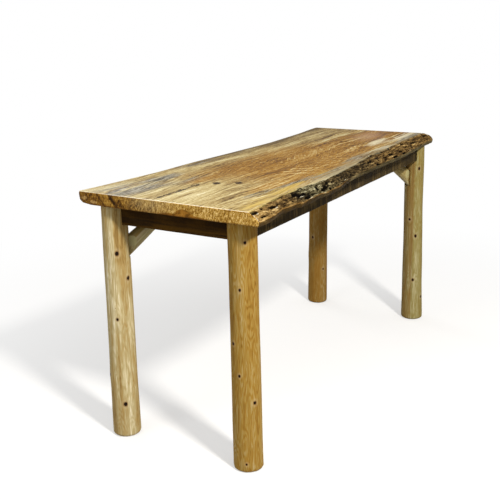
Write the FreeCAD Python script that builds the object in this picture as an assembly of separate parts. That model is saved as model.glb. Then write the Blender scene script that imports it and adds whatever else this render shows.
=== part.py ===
import FreeCAD, Part
import math
import os

# A bar-height table: a live-edge slab on four peeled log legs.
# Millimetres, +Z up, origin on the floor under the middle of the slab.
# +X runs along the slab, and -Y is the front, where the live edge slopes most.

# Slab
table_height = 1067.0
slab_length = 2100.0
slab_width = 839.0
slab_thickness = 52.0
slab_arris = 3.0

# Live edges, read at even stations from the left end to the right end:
# how far each edge lies inside the slab's widest line
front_lip_inset = (0.0, 18.0, 9.0, 17.0, 40.0, 41.0, 40.0, 52.0, 63.0)
back_edge_inset = (0.0, 24.0, 45.0, 48.0, 66.0, 81.0, 85.0, 75.0, 57.0)
# how far the top of the front live edge lies behind its lip
front_wane = (44.0, 47.0, 53.0, 44.0, 32.0, 64.0, 71.0, 68.0, 61.0)
lip_height = 18.0
lip_tuck = 7.0
back_undercut = 16.0

# Legs, measured from the slab's edges to their axes
end_overhang = 91.0
front_overhang = 120.0
back_overhang = 116.0
leg_top_diameter = 105.0
leg_foot_diameter = 114.0
foot_chamfer = 10.0

# Apron frame, half-lapped at the corners and let into the leg tops
apron_height = 83.0
apron_thickness = 38.0
frame_outset = 17.0

# Knee braces: round poles, one per leg, set at 45 degrees in plan, with the leg end shaved to a narrow butt
brace_diameter = 60.0
brace_drop = 228.0
brace_angle = 43.0
brace_seat_depth = 5.0
brace_butt_width = 24.0
brace_shave_angle = 30.0

# Fasteners
hole_gap = 0.4

lag_diameter = 9.5
lag_length = 152.0
lag_head_width = 14.3
lag_head_height = 6.4
lag_head_cover = 1.6
lag_washer_diameter = 25.0
lag_washer_thickness = 2.0

slab_screw_diameter = 6.4
slab_screw_bite = 34.0
slab_screw_head_width = 11.1
slab_screw_head_height = 4.4
slab_screw_recess = 40.0
slab_washer_diameter = 18.0
slab_washer_thickness = 1.6
slot_travel = 6.0
screws_per_long_apron = 3
screws_per_short_apron = 2

brace_screw_diameter = 6.4
brace_screw_head_diameter = 15.0
brace_screw_head_height = 3.0
brace_screw_grip = 20.0
brace_screw_bite = 36.0
screw_point_length = 8.0

# Derived places
slab_underside = table_height - slab_thickness
apron_underside = slab_underside - apron_height
lap_height = apron_height / 2.0
lag_recess = lag_washer_thickness + lag_head_height + lag_head_cover
leg_reach_x = slab_length / 2.0 - end_overhang
leg_front_y = front_overhang - slab_width / 2.0
leg_back_y = slab_width / 2.0 - back_overhang
frame_inset = apron_thickness - frame_outset
frame_middle = frame_outset - apron_thickness / 2.0
brace_seat_out = leg_top_diameter / 2.0 - brace_seat_depth
brace_slope = math.tan(math.radians(brace_angle))
brace_upright = brace_diameter / math.cos(math.radians(brace_angle))
brace_level = brace_diameter / math.sin(math.radians(brace_angle))
brace_reach = brace_drop / brace_slope

UP = FreeCAD.Vector(0.0, 0.0, 1.0)

# Each corner: side along X, side along Y, leg axis
CORNERS = {
    "front_left": (-1.0, -1.0, -leg_reach_x, leg_front_y),
    "front_right": (1.0, -1.0, leg_reach_x, leg_front_y),
    "back_left": (-1.0, 1.0, -leg_reach_x, leg_back_y),
    "back_right": (1.0, 1.0, leg_reach_x, leg_back_y),
}


def vec(x, y, z):
    return FreeCAD.Vector(x, y, z)


def block(x0, x1, y0, y1, z0, z1):
    """A box between two corners, given in any order."""
    low = vec(min(x0, x1), min(y0, y1), min(z0, z1))
    return Part.makeBox(abs(x1 - x0), abs(y1 - y0), abs(z1 - z0), low)


def pin(diameter, base, direction, length):
    """A round bar that starts at base and runs along direction."""
    return Part.makeCylinder(diameter / 2.0, length, base, direction)


def corner_block(corner, u0, u1, v0, v1, z0, z1):
    """A box at a leg, with u and v measured outwards from the leg axis."""
    side_x, side_y, leg_x, leg_y = CORNERS[corner]
    return block(leg_x + side_x * u0, leg_x + side_x * u1, leg_y + side_y * v0, leg_y + side_y * v1, z0, z1)


def at_brace(shape, corner):
    """Turn a shape drawn along +X so that it points from a leg to the table's middle at 45 degrees."""
    side_x, side_y, leg_x, leg_y = CORNERS[corner]
    turned = shape.copy()
    turned.rotate(vec(0.0, 0.0, 0.0), UP, math.degrees(math.atan2(-side_y, -side_x)))
    turned.translate(vec(leg_x, leg_y, 0.0))
    return turned


def lap_centre(corner):
    """Plan position of the middle of a half-lapped corner of the frame."""
    side_x, side_y, leg_x, leg_y = CORNERS[corner]
    return leg_x + side_x * frame_middle, leg_y + side_y * frame_middle


def point_between(start, end, steps):
    """Evenly spaced values from start to end, without the two ends."""
    return [start + (end - start) * (i + 1) / (steps + 1) for i in range(steps)]


# Slab
def slab_section(height, front_share, front_extra, back_extra, end_inset):
    """A level outline of the slab: two live edges joined by two sawn ends."""
    stations = len(front_lip_inset)
    half_length = slab_length / 2.0 - end_inset
    z = slab_underside + height
    front = []
    back = []
    for i in range(stations):
        x = -half_length + 2.0 * half_length * i / (stations - 1)
        inset = front_lip_inset[i] + front_share * front_wane[i] + front_extra
        front.append(vec(x, inset - slab_width / 2.0, z))
        back.append(vec(x, slab_width / 2.0 - back_edge_inset[i] - back_extra, z))
    front_curve = Part.BSplineCurve()
    front_curve.interpolate(front)
    back_curve = Part.BSplineCurve()
    back_curve.interpolate(list(reversed(back)))
    edges = [
        front_curve.toShape(),
        Part.LineSegment(front[-1], back[-1]).toShape(),
        back_curve.toShape(),
        Part.LineSegment(back[0], front[0]).toShape(),
    ]
    return Part.Wire(edges)


def slab_screw_places():
    """Plan positions of the screws that hold the slab to the frame."""
    places = []
    for y in (leg_front_y - frame_middle, leg_back_y + frame_middle):
        for x in point_between(-leg_reach_x, leg_reach_x, screws_per_long_apron):
            places.append((x, y))
    for x in (-leg_reach_x - frame_middle, leg_reach_x + frame_middle):
        for y in point_between(leg_front_y, leg_back_y, screws_per_short_apron):
            places.append((x, y))
    return places


def make_slab():
    upper = slab_thickness - slab_arris
    upper_share = (upper - lip_height) / (slab_thickness - lip_height)
    sections = [
        slab_section(0.0, 0.0, lip_tuck, back_undercut, 0.0),
        slab_section(lip_height, 0.0, 0.0, 0.0, 0.0),
        slab_section(upper, upper_share, 0.0, 0.0, 0.0),
        slab_section(slab_thickness, 1.0, 0.0, slab_arris, slab_arris),
    ]
    slab = Part.makeLoft(sections, True, True)
    bore = slab_screw_diameter + hole_gap
    for x, y in slab_screw_places():
        slab = slab.cut(pin(bore, vec(x, y, slab_underside), UP, slab_screw_bite + hole_gap))
    for corner in CORNERS:
        slab = slab.cut(at_brace(brace_top_hole(), corner))
    return slab


# Legs
def make_leg(corner):
    leg_x, leg_y = CORNERS[corner][2:]
    foot = leg_foot_diameter / 2.0
    profile = Part.makePolygon([
        vec(0.0, 0.0, 0.0),
        vec(foot - foot_chamfer, 0.0, 0.0),
        vec(foot, 0.0, foot_chamfer),
        vec(leg_top_diameter / 2.0, 0.0, slab_underside),
        vec(0.0, 0.0, slab_underside),
        vec(0.0, 0.0, 0.0),
    ])
    leg = Part.Face(profile).revolve(vec(0.0, 0.0, 0.0), UP, 360.0)
    leg.translate(vec(leg_x, leg_y, 0.0))
    notch = corner_block(corner, frame_outset, -leg_foot_diameter, frame_outset, -leg_foot_diameter,
                         apron_underside, table_height)
    seat = at_brace(block(brace_seat_out, leg_foot_diameter, -brace_diameter / 2.0, brace_diameter / 2.0,
                          slab_underside - brace_drop, slab_underside - brace_drop + brace_upright), corner)
    lag_x, lag_y = lap_centre(corner)
    lag_hole = pin(lag_diameter + hole_gap, vec(lag_x, lag_y, lag_tip() - hole_gap), UP, table_height)
    leg = leg.cut(notch).cut(seat).cut(lag_hole)
    return leg.cut(at_brace(brace_leg_hole(), corner))


# Apron frame
def lag_tip():
    """Height of the point of a corner lag bolt."""
    return slab_underside - lag_recess + lag_washer_thickness - lag_length


def corner_lag_holes(apron):
    """Bore an apron for the lag bolts that pass its two laps, and sink their heads."""
    for corner in CORNERS:
        x, y = lap_centre(corner)
        apron = apron.cut(pin(lag_diameter + hole_gap, vec(x, y, apron_underside), UP, apron_height))
        recess_floor = slab_underside - lag_recess
        apron = apron.cut(pin(lag_washer_diameter + hole_gap, vec(x, y, recess_floor), UP, lag_recess))
    return apron


def upright_slot(x, y, width, depth):
    """A slot with round ends, cut up from under the frame and long across the slab's grain."""
    y0 = y - slot_travel / 2.0
    y1 = y + slot_travel / 2.0
    slot = block(x - width / 2.0, x + width / 2.0, y0, y1, apron_underside, apron_underside + depth)
    for end in (y0, y1):
        slot = slot.fuse(pin(width, vec(x, end, apron_underside), UP, depth))
    return slot


def slab_screw_slots(apron):
    """Bore an apron from below, with slots that let the slab shrink and swell across its grain."""
    for x, y in slab_screw_places():
        apron = apron.cut(upright_slot(x, y, slab_screw_diameter + hole_gap, apron_height))
        apron = apron.cut(upright_slot(x, y, slab_washer_diameter + hole_gap, slab_screw_recess))
    return apron


def make_long_apron(corner_left, corner_right):
    """A front or back apron, lapped on the lower half of each corner."""
    side_y = CORNERS[corner_left][1]
    leg_y = CORNERS[corner_left][3]
    reach = leg_reach_x + frame_outset
    apron = block(-reach, reach, leg_y + side_y * frame_outset, leg_y - side_y * frame_inset,
                  apron_underside, slab_underside)
    for corner in (corner_left, corner_right):
        apron = apron.cut(corner_block(corner, frame_outset, -frame_inset, frame_outset, -frame_inset,
                                       apron_underside + lap_height, slab_underside))
    return slab_screw_slots(corner_lag_holes(apron))


def make_short_apron(corner_front, corner_back):
    """A left or right apron, lapped on the upper half of each corner."""
    side_x = CORNERS[corner_front][0]
    leg_x = CORNERS[corner_front][2]
    apron = block(leg_x + side_x * frame_outset, leg_x - side_x * frame_inset,
                  leg_front_y - frame_outset, leg_back_y + frame_outset, apron_underside, slab_underside)
    for corner in (corner_front, corner_back):
        apron = apron.cut(corner_block(corner, frame_outset, -frame_inset, frame_outset, -frame_inset,
                                       apron_underside, apron_underside + lap_height))
    return slab_screw_slots(corner_lag_holes(apron))


# Knee braces, drawn along +X from the leg axis and then turned into place
def brace_leg_level():
    """Height of the screw that holds a brace to its leg."""
    return slab_underside - brace_drop + brace_upright / 2.0


def brace_top_out():
    """Distance from the leg axis of the screw that holds a brace to the slab."""
    return brace_seat_out + brace_reach - brace_level / 2.0


def brace_leg_hole():
    """The hole of the screw that runs level from a brace into its leg."""
    start = vec(brace_seat_out - brace_screw_bite - hole_gap, 0.0, brace_leg_level())
    return pin(brace_screw_diameter + hole_gap, start, vec(1.0, 0.0, 0.0), brace_screw_bite + brace_level)


def brace_top_hole():
    """The hole of the screw that runs upright from a brace into the slab."""
    base = vec(brace_top_out(), 0.0, slab_underside - brace_upright)
    return pin(brace_screw_diameter + hole_gap, base, UP, brace_upright + brace_screw_bite + hole_gap)


def make_brace(corner):
    """A round pole, cut plumb at the leg and level under the slab, and shaved on both sides at the leg."""
    tip = slab_underside - brace_drop
    rise = vec(math.cos(math.radians(brace_angle)), 0.0, math.sin(math.radians(brace_angle)))
    start = vec(brace_seat_out, 0.0, brace_leg_level()).sub(rise * brace_drop)
    pole = pin(brace_diameter, start, rise, 3.0 * brace_drop)
    brace = pole.common(block(brace_seat_out, brace_seat_out + brace_reach + brace_diameter,
                              -brace_diameter, brace_diameter, tip - brace_diameter, slab_underside))
    for side in (-1.0, 1.0):
        shaving = block(-brace_diameter, 2.0 * brace_diameter, 0.0, side * brace_diameter,
                        tip - brace_diameter, slab_underside)
        shaving.rotate(vec(0.0, 0.0, 0.0), UP, side * brace_shave_angle)
        shaving.translate(vec(brace_seat_out, side * brace_butt_width / 2.0, 0.0))
        brace = brace.cut(shaving)
    brace = brace.cut(brace_leg_hole()).cut(brace_top_hole())
    head = brace_screw_head_diameter + hole_gap
    leg_recess = vec(brace_seat_out + brace_screw_grip, 0.0, brace_leg_level())
    top_recess = vec(brace_top_out(), 0.0, slab_underside - brace_screw_grip)
    brace = brace.cut(pin(head, leg_recess, vec(1.0, 0.0, 0.0), brace_level))
    brace = brace.cut(pin(head, top_recess, vec(0.0, 0.0, -1.0), brace_upright))
    return at_brace(brace, corner)


# Fasteners
def pointed_shank(diameter, length):
    """A screw's shank from its head's underside at the origin up to its point."""
    straight = Part.makeCylinder(diameter / 2.0, length - screw_point_length)
    shoulder = vec(0.0, 0.0, length - screw_point_length)
    point = Part.makeCone(diameter / 2.0, 0.0, screw_point_length, shoulder)
    return straight.fuse(point)


def hex_screw(diameter, length, head_width, head_height):
    """A hex-headed wood screw that points up, with its head's underside at the origin."""
    radius = head_width / math.sqrt(3.0)
    corners = []
    for i in range(7):
        turn = math.radians(60.0 * i)
        corners.append(vec(radius * math.cos(turn), radius * math.sin(turn), -head_height))
    head = Part.Face(Part.makePolygon(corners)).extrude(vec(0.0, 0.0, head_height))
    return pointed_shank(diameter, length).fuse(head).removeSplitter()


def flanged_screw():
    """A washer-headed structural screw that points up, with its head's underside at the origin."""
    rim = brace_screw_head_diameter / 2.0
    head = Part.makeCylinder(rim, brace_screw_head_height, vec(0.0, 0.0, -brace_screw_head_height))
    shank = pointed_shank(brace_screw_diameter, brace_screw_grip + brace_screw_bite)
    return shank.fuse(head).removeSplitter()


def washer(outer, bore, thickness):
    """A flat washer that stands below the origin."""
    base = vec(0.0, 0.0, -thickness)
    disc = Part.makeCylinder(outer / 2.0, thickness, base)
    return disc.cut(Part.makeCylinder(bore / 2.0, thickness, base))


def turned_down(shape):
    """The same shape upside down."""
    copy = shape.copy()
    copy.rotate(vec(0.0, 0.0, 0.0), vec(1.0, 0.0, 0.0), 180.0)
    return copy


def moved(shape, x, y, z):
    copy = shape.copy()
    copy.translate(vec(x, y, z))
    return copy


def make_leg_lags():
    bolt = turned_down(hex_screw(lag_diameter, lag_length, lag_head_width, lag_head_height))
    seat = slab_underside - lag_recess + lag_washer_thickness
    return [moved(bolt, *lap_centre(corner), seat) for corner in CORNERS]


def make_lag_washers():
    ring = turned_down(washer(lag_washer_diameter, lag_diameter + hole_gap, lag_washer_thickness))
    return [moved(ring, *lap_centre(corner), slab_underside - lag_recess) for corner in CORNERS]


def make_slab_screws():
    length = slab_washer_thickness + apron_height - slab_screw_recess + slab_screw_bite
    screw = hex_screw(slab_screw_diameter, length, slab_screw_head_width, slab_screw_head_height)
    seat = apron_underside + slab_screw_recess - slab_washer_thickness
    return [moved(screw, x, y, seat) for x, y in slab_screw_places()]


def make_slab_washers():
    ring = washer(slab_washer_diameter, slab_screw_diameter + hole_gap, slab_washer_thickness)
    return [moved(ring, x, y, apron_underside + slab_screw_recess) for x, y in slab_screw_places()]


def make_brace_leg_screws():
    screw = flanged_screw()
    screw.rotate(vec(0.0, 0.0, 0.0), vec(0.0, 1.0, 0.0), -90.0)
    screw = moved(screw, brace_seat_out + brace_screw_grip, 0.0, brace_leg_level())
    return [at_brace(screw, corner) for corner in CORNERS]


def make_brace_top_screws():
    screw = moved(flanged_screw(), brace_top_out(), 0.0, slab_underside - brace_screw_grip)
    return [at_brace(screw, corner) for corner in CORNERS]


def build_table():
    """Every piece of the table, by name."""
    pieces = {"slab_top": make_slab()}
    for corner in CORNERS:
        pieces["leg_" + corner] = make_leg(corner)
        pieces["brace_" + corner] = make_brace(corner)
    pieces["apron_front"] = make_long_apron("front_left", "front_right")
    pieces["apron_back"] = make_long_apron("back_left", "back_right")
    pieces["apron_left"] = make_short_apron("front_left", "back_left")
    pieces["apron_right"] = make_short_apron("front_right", "back_right")
    pieces["leg_lag_bolts"] = Part.makeCompound(make_leg_lags())
    pieces["leg_lag_washers"] = Part.makeCompound(make_lag_washers())
    pieces["slab_screws"] = Part.makeCompound(make_slab_screws())
    pieces["slab_screw_washers"] = Part.makeCompound(make_slab_washers())
    pieces["brace_leg_screws"] = Part.makeCompound(make_brace_leg_screws())
    pieces["brace_slab_screws"] = Part.makeCompound(make_brace_top_screws())
    return pieces


os.makedirs("parts", exist_ok=True)
for name, shape in build_table().items():
    shape.exportStep("parts/" + name + ".step")
    print(name, "solids", len(shape.Solids), "valid", shape.isValid(), "volume", round(shape.Volume))
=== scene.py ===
import math

import bpy
import numpy as np
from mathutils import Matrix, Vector, noise


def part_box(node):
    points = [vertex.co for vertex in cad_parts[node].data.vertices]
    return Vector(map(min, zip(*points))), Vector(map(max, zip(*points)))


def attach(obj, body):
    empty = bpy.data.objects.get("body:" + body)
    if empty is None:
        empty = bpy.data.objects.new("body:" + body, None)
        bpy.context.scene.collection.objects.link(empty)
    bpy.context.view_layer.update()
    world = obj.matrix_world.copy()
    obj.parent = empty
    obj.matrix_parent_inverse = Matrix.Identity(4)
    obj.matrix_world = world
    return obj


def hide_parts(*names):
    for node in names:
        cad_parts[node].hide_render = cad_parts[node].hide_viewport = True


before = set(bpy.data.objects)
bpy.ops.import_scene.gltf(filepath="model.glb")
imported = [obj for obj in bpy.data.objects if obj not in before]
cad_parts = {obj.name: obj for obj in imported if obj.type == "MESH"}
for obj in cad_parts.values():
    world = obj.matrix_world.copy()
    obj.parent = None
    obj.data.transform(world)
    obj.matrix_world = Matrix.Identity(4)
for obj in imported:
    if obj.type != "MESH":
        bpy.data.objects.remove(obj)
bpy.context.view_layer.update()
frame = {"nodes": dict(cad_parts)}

bl_info = {
    "name": "Slab Bar Table",
    "version": (1, 0, 0),
    "blender": (4, 5, 0),
    "location": "View3D > Sidebar > Slab Table",
    "description": "Dresses the packed bar table: live-edge slab, log legs, sawn aprons and knee braces",
    "category": "Object",
}

# Metres throughout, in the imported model's frame: +X along the slab, -Y the front live edge, +Z up.
SLAB_LOW, SLAB_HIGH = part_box("slab_top")
UNDERSIDE = SLAB_LOW.z
THICKNESS = SLAB_HIGH.z - SLAB_LOW.z
APRON_LOW, APRON_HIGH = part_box("apron_front")
APRON_UNDER = APRON_LOW.z
APRON_OUT = -APRON_LOW.x
APRON_THICK = APRON_HIGH.y - APRON_LOW.y
# Side of the table, along X and along Y, on which each leg stands
CORNERS = {
    "front_left": (-1.0, -1.0),
    "front_right": (1.0, -1.0),
    "back_left": (-1.0, 1.0),
    "back_right": (1.0, 1.0),
}
STEEL_NODES = (
    "leg_lag_bolts", "leg_lag_washers", "slab_screws",
    "slab_screw_washers", "brace_leg_screws", "brace_slab_screws",
)
# Fasteners that holes are cut for: play of a hole, diameters, depths of recesses, travel of a slot, grip
HOLE_GAP = 0.0004
LAG_DIAMETER = 0.0095
LAG_WASHER = 0.025
LAG_RECESS = 0.010
SCREW_DIAMETER = 0.0064
SLAB_WASHER = 0.018
SLAB_RECESS = 0.040
SLOT_TRAVEL = 0.006
BRACE_HEAD = 0.015
BRACE_GRIP = 0.020
# Places closer than a hair are the same, and a cutter runs past what it cuts by the overcut
HAIR = 1e-5
OVERCUT = 0.02
WHITE = (1.0, 1.0, 1.0, 1.0)


def linear(code):
    """Linear colour of a hex shade."""
    parts = [int(code[i:i + 2], 16) / 255.0 for i in (1, 3, 5)]
    return tuple(p / 12.92 if p <= 0.04045 else ((p + 0.055) / 1.055) ** 2.4 for p in parts) + (1.0,)


def shade(value):
    """Linear colour of a hex shade or a grey level; anything else passes as it is."""
    if isinstance(value, str):
        return linear(value)
    if isinstance(value, float):
        return (value, value, value, 1.0)
    return value


def colour_property(name, description, code):
    """A colour setting that starts at a hex shade."""
    return bpy.props.FloatVectorProperty(name=name, description=description, subtype="COLOR", size=4,
                                         min=0.0, max=1.0, default=linear(code))


def length_property(name, description, default):
    """A length setting in metres."""
    return bpy.props.FloatProperty(name=name, description=description, default=default, unit="LENGTH")


# Settings

class SlabSettings(bpy.types.PropertyGroup):
    """Shape and colours of the slab"""
    lip_height: length_property("Lip height", "Upright part of the front live edge", 0.018)
    lip_tuck: length_property("Lip tuck", "How far the underside lies behind the front lip", 0.007)
    arris: length_property("Arris", "Width of the eased edges round the sawn ends", 0.0036)
    roughness_depth: length_property("Live edge roughness", "Height of the ridges left by the bark", 0.0046)
    pit_depth: length_property("Pit depth", "Depth of the holes in the live edge", 0.011)
    cream: colour_property("Sapwood", "Pale straw sapwood", "#CDB983")
    yellow: colour_property("Yellow sapwood", "Yellow band beside the live edge", "#C6A74C")
    honey: colour_property("Honey wood", "Ground colour of the slab", "#A2782F")
    orange: colour_property("Heartwood", "Orange heart of the slab", "#885E1F")
    grey: colour_property("Stained streak", "Grey-blue stain in the wood", "#86827A")
    blush: colour_property("Blush", "Pink patch near the right end", "#AB856B")
    dusk: colour_property("Rim wood", "Grey-brown strip beside the back edge", "#574529")
    line: colour_property("Dark line", "Dark growth lines and cracks", "#3E260E")


class LegSettings(bpy.types.PropertyGroup):
    """Shape and colours of the log legs"""
    foot_round: length_property("Foot rounding", "Rounded chamfer at the foot of each log", 0.013)
    swell: length_property("Swell", "Slow unevenness of the log's surface", 0.0022)
    knife: length_property("Knife flats", "Depth of the flats left by the drawknife", 0.0011)
    knot_swell: length_property("Knot swell", "Height of the wood round each knot", 0.0022)
    front_left: colour_property("Front left log", "Ground colour of this log", "#9B7D3B")
    back_left: colour_property("Back left log", "Ground colour of this log", "#AF9D6F")
    front_right: colour_property("Front right log", "Ground colour of this log", "#908451")
    back_right: colour_property("Back right log", "Ground colour of this log", "#8C6C31")


class FrameSettings(bpy.types.PropertyGroup):
    """Aprons, braces and fasteners"""
    saw_depth: length_property("Saw mark depth", "Depth of the saw marks across the aprons", 0.0006)
    apron_arris: length_property("Apron arris", "Eased edge of the aprons", 0.0016)
    long_apron: colour_property("Long apron stain", "Grey-brown stain on the long aprons", "#3C3018")
    short_apron: colour_property("Short apron stain", "Dark warm stain on the short aprons", "#321E05")
    brace: colour_property("Brace wood", "Peeled wood of the braces", "#A2966A")
    shaving: colour_property("Shaved wood", "Fresh wood where a brace is shaved at its leg", "#B0A878")
    steel: colour_property("Plated steel", "Zinc plate on the bolts and screws", "#B9BABC")


class StageSettings(bpy.types.PropertyGroup):
    """Light, floor and camera"""
    eye: bpy.props.FloatVectorProperty(name="Eye", description="Camera position", size=3, unit="LENGTH",
                                       default=(-3.52652, -1.81410, 1.75203))
    azimuth: bpy.props.FloatProperty(name="Azimuth", description="Heading of the view from +X towards +Y",
                                     default=math.radians(30.10882), subtype="ANGLE")
    dip: bpy.props.FloatProperty(name="Dip", description="How far the view looks down",
                                 default=math.radians(16.02019), subtype="ANGLE")
    roll: bpy.props.FloatProperty(name="Roll", description="Turn of the camera about its line of sight",
                                  default=math.radians(-0.86796), subtype="ANGLE")
    lens: bpy.props.FloatProperty(name="Lens", description="Focal length on a 36 mm sensor, in millimetres",
                                  default=60.2577, min=1.0)
    key_power: bpy.props.FloatProperty(name="Key light", description="Power of the key light", default=330.0,
                                       unit="POWER")
    fill_power: bpy.props.FloatProperty(name="Fill light", description="Power of each soft fill light",
                                        default=40.0, unit="POWER")
    overhead: bpy.props.FloatProperty(name="Overhead light", description="Strength of the light overhead",
                                      default=0.62, min=0.0)
    side: bpy.props.FloatProperty(name="Side light", description="Strength of the light from the walls",
                                  default=0.12, min=0.0)
    floor: colour_property("Floor", "Pale studio floor as the camera sees it", "#F6F5F3")
    bounce: colour_property("Floor bounce", "Tone of the light that the floor sends back up", "#B4B2AE")


class TableSettings(bpy.types.PropertyGroup):
    """All settings of the table"""
    slab: bpy.props.PointerProperty(name="Slab", description="Slab settings", type=SlabSettings)
    legs: bpy.props.PointerProperty(name="Legs", description="Leg settings", type=LegSettings)
    frame: bpy.props.PointerProperty(name="Frame", description="Apron and brace settings", type=FrameSettings)
    stage: bpy.props.PointerProperty(name="Stage", description="Light and camera", type=StageSettings)


# Modelling helpers

def clear_selection():
    """Object mode with nothing selected."""
    if bpy.context.mode != "OBJECT":
        bpy.ops.object.mode_set(mode="OBJECT")
    bpy.ops.object.select_all(action="DESELECT")


def choose(piece):
    """Make one piece the only selected and active one."""
    clear_selection()
    piece.select_set(True)
    bpy.context.view_layer.objects.active = piece


def settle(piece):
    """Put a piece's place into its mesh, so that its object sits at the origin."""
    choose(piece)
    bpy.ops.object.transform_apply(location=True, rotation=True, scale=True)


def new_block(name, low, high):
    """A block between two corners."""
    clear_selection()
    low, high = Vector(low), Vector(high)
    bpy.ops.mesh.primitive_cube_add(size=1.0, location=(low + high) / 2.0)
    block = bpy.context.object
    block.name = name
    block.data.name = name
    block.scale = high - low
    settle(block)
    return block


def new_round(name, radius, base, height, turn=(0.0, 0.0, 0.0), sides=32):
    """A round bar that starts at base and runs along +Z before it is turned."""
    clear_selection()
    bpy.ops.mesh.primitive_cylinder_add(vertices=sides, radius=radius, depth=height,
                                        location=(0.0, 0.0, height / 2.0), end_fill_type="NGON")
    bar = bpy.context.object
    bar.name = name
    bar.data.name = name
    settle(bar)
    bar.rotation_euler = turn
    bar.location = base
    settle(bar)
    return bar


def hole_radius(diameter):
    """Radius of the hole for a fastener."""
    return (diameter + HOLE_GAP) / 2.0


def points_of(piece):
    """Vertex places of a piece as an array."""
    places = np.empty(len(piece.data.vertices) * 3)
    piece.data.vertices.foreach_get("co", places)
    return places.reshape(-1, 3)


def move_points(piece, places):
    """Put a piece's vertices at new places."""
    piece.data.vertices.foreach_set("co", np.ascontiguousarray(places).ravel())
    piece.data.update()


def normals_of(piece):
    """Face normals of a piece as an array."""
    return np.array([face.normal for face in piece.data.polygons])


def mark_edges(piece, chosen):
    """Edit mode with only the edges marked in an array selected."""
    choose(piece)
    bpy.ops.object.mode_set(mode="EDIT")
    bpy.ops.mesh.select_mode(type="EDGE")
    bpy.ops.mesh.select_all(action="DESELECT")
    bpy.ops.object.mode_set(mode="OBJECT")
    piece.data.edges.foreach_set("select", chosen)
    bpy.ops.object.mode_set(mode="EDIT")


def edge_ends(piece):
    """Places of the two ends of every edge."""
    ends = np.empty(len(piece.data.edges) * 2, dtype=np.int64)
    piece.data.edges.foreach_get("vertices", ends)
    places = points_of(piece)
    return places[ends[0::2]], places[ends[1::2]]


def cut_along(piece, axis, *passes):
    """Divide every long edge that runs along one axis, as rows of cuts, in one or more passes."""
    for count in passes:
        start, end = edge_ends(piece)
        run = np.abs(end - start)
        across = np.delete(run, axis, axis=1).max(axis=1)
        longest = run[:, axis].max()
        mark_edges(piece, (across < HAIR) & (run[:, axis] > 0.5 * longest))
        bpy.ops.mesh.subdivide(number_cuts=count - 1)
        bpy.ops.object.mode_set(mode="OBJECT")


def ease_edges(piece, chosen, width, segments):
    """Bevel the edges marked in an array."""
    mark_edges(piece, chosen)
    bpy.ops.mesh.bevel(offset=width, segments=segments, affect="EDGES")
    bpy.ops.object.mode_set(mode="OBJECT")


def carve(piece, cutters):
    """Cut solids away from a piece."""
    for cutter in cutters:
        choose(piece)
        cut = piece.modifiers.new("cut", "BOOLEAN")
        cut.operation = "DIFFERENCE"
        cut.solver = "EXACT"
        cut.object = cutter
        bpy.ops.object.modifier_apply(modifier=cut.name)
        mesh = cutter.data
        bpy.data.objects.remove(cutter)
        bpy.data.meshes.remove(mesh)


def trim(piece, point, normal):
    """Cut off what lies on the outer side of a plane and close the cut."""
    choose(piece)
    bpy.ops.object.mode_set(mode="EDIT")
    bpy.ops.mesh.select_all(action="SELECT")
    bpy.ops.mesh.bisect(plane_co=point, plane_no=normal, use_fill=True, clear_outer=True)
    bpy.ops.object.mode_set(mode="OBJECT")


def finish_piece(piece, node, materials, angle=35.0, sort=None):
    """Smooth a piece, give its faces their materials, as sort numbers them, and let it stand for its node."""
    choose(piece)
    bpy.ops.object.mode_set(mode="EDIT")
    bpy.ops.mesh.select_all(action="SELECT")
    bpy.ops.mesh.normals_make_consistent(inside=False)
    bpy.ops.object.mode_set(mode="OBJECT")
    bpy.ops.object.shade_smooth_by_angle(angle=math.radians(angle))
    piece.data.materials.clear()
    for material in materials:
        piece.data.materials.append(material)
    if sort is None:
        sort = np.zeros(len(piece.data.polygons), dtype=np.int32)
    piece.data.polygons.foreach_set("material_index", sort)
    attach(piece, "root")
    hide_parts(node)


def paint(piece, name, values):
    """Keep one number per vertex under a name that a material reads."""
    layer = piece.data.attributes.new(name, "FLOAT", "POINT")
    layer.data.foreach_set("value", np.ascontiguousarray(values, dtype=np.float32))


def ease(value, low, high):
    """0 below low, 1 above high and a smooth step between."""
    step = np.clip((value - low) / (high - low), 0.0, 1.0)
    return step * step * (3.0 - 2.0 * step)


def soft_line(points, x, blur):
    """A line through a few (x, y) points, with its corners softened over a short run."""
    known = np.array(points)
    offsets = np.linspace(-1.0, 1.0, 9)
    weights = np.exp(-2.0 * offsets ** 2)
    total = sum(w * np.interp(x + o * blur, known[:, 0], known[:, 1]) for o, w in zip(offsets, weights))
    return total / weights.sum()


def strip(x, y=0.0):
    """Points on a flat strip, where noise along an edge or a board is read."""
    return np.column_stack([x, np.broadcast_to(y, x.shape), np.zeros_like(x)])


def swirl(points, stretch, seed, octaves=2):
    """Fractal noise at each point, about -1 to 1."""
    scale = Vector(stretch)
    shift = Vector((seed * 7.31, seed * 3.17, seed * 5.53))
    return np.array([noise.fractal(Vector(p) * scale + shift, 0.9, 2.0, octaves) for p in points])


# Material helpers

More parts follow.
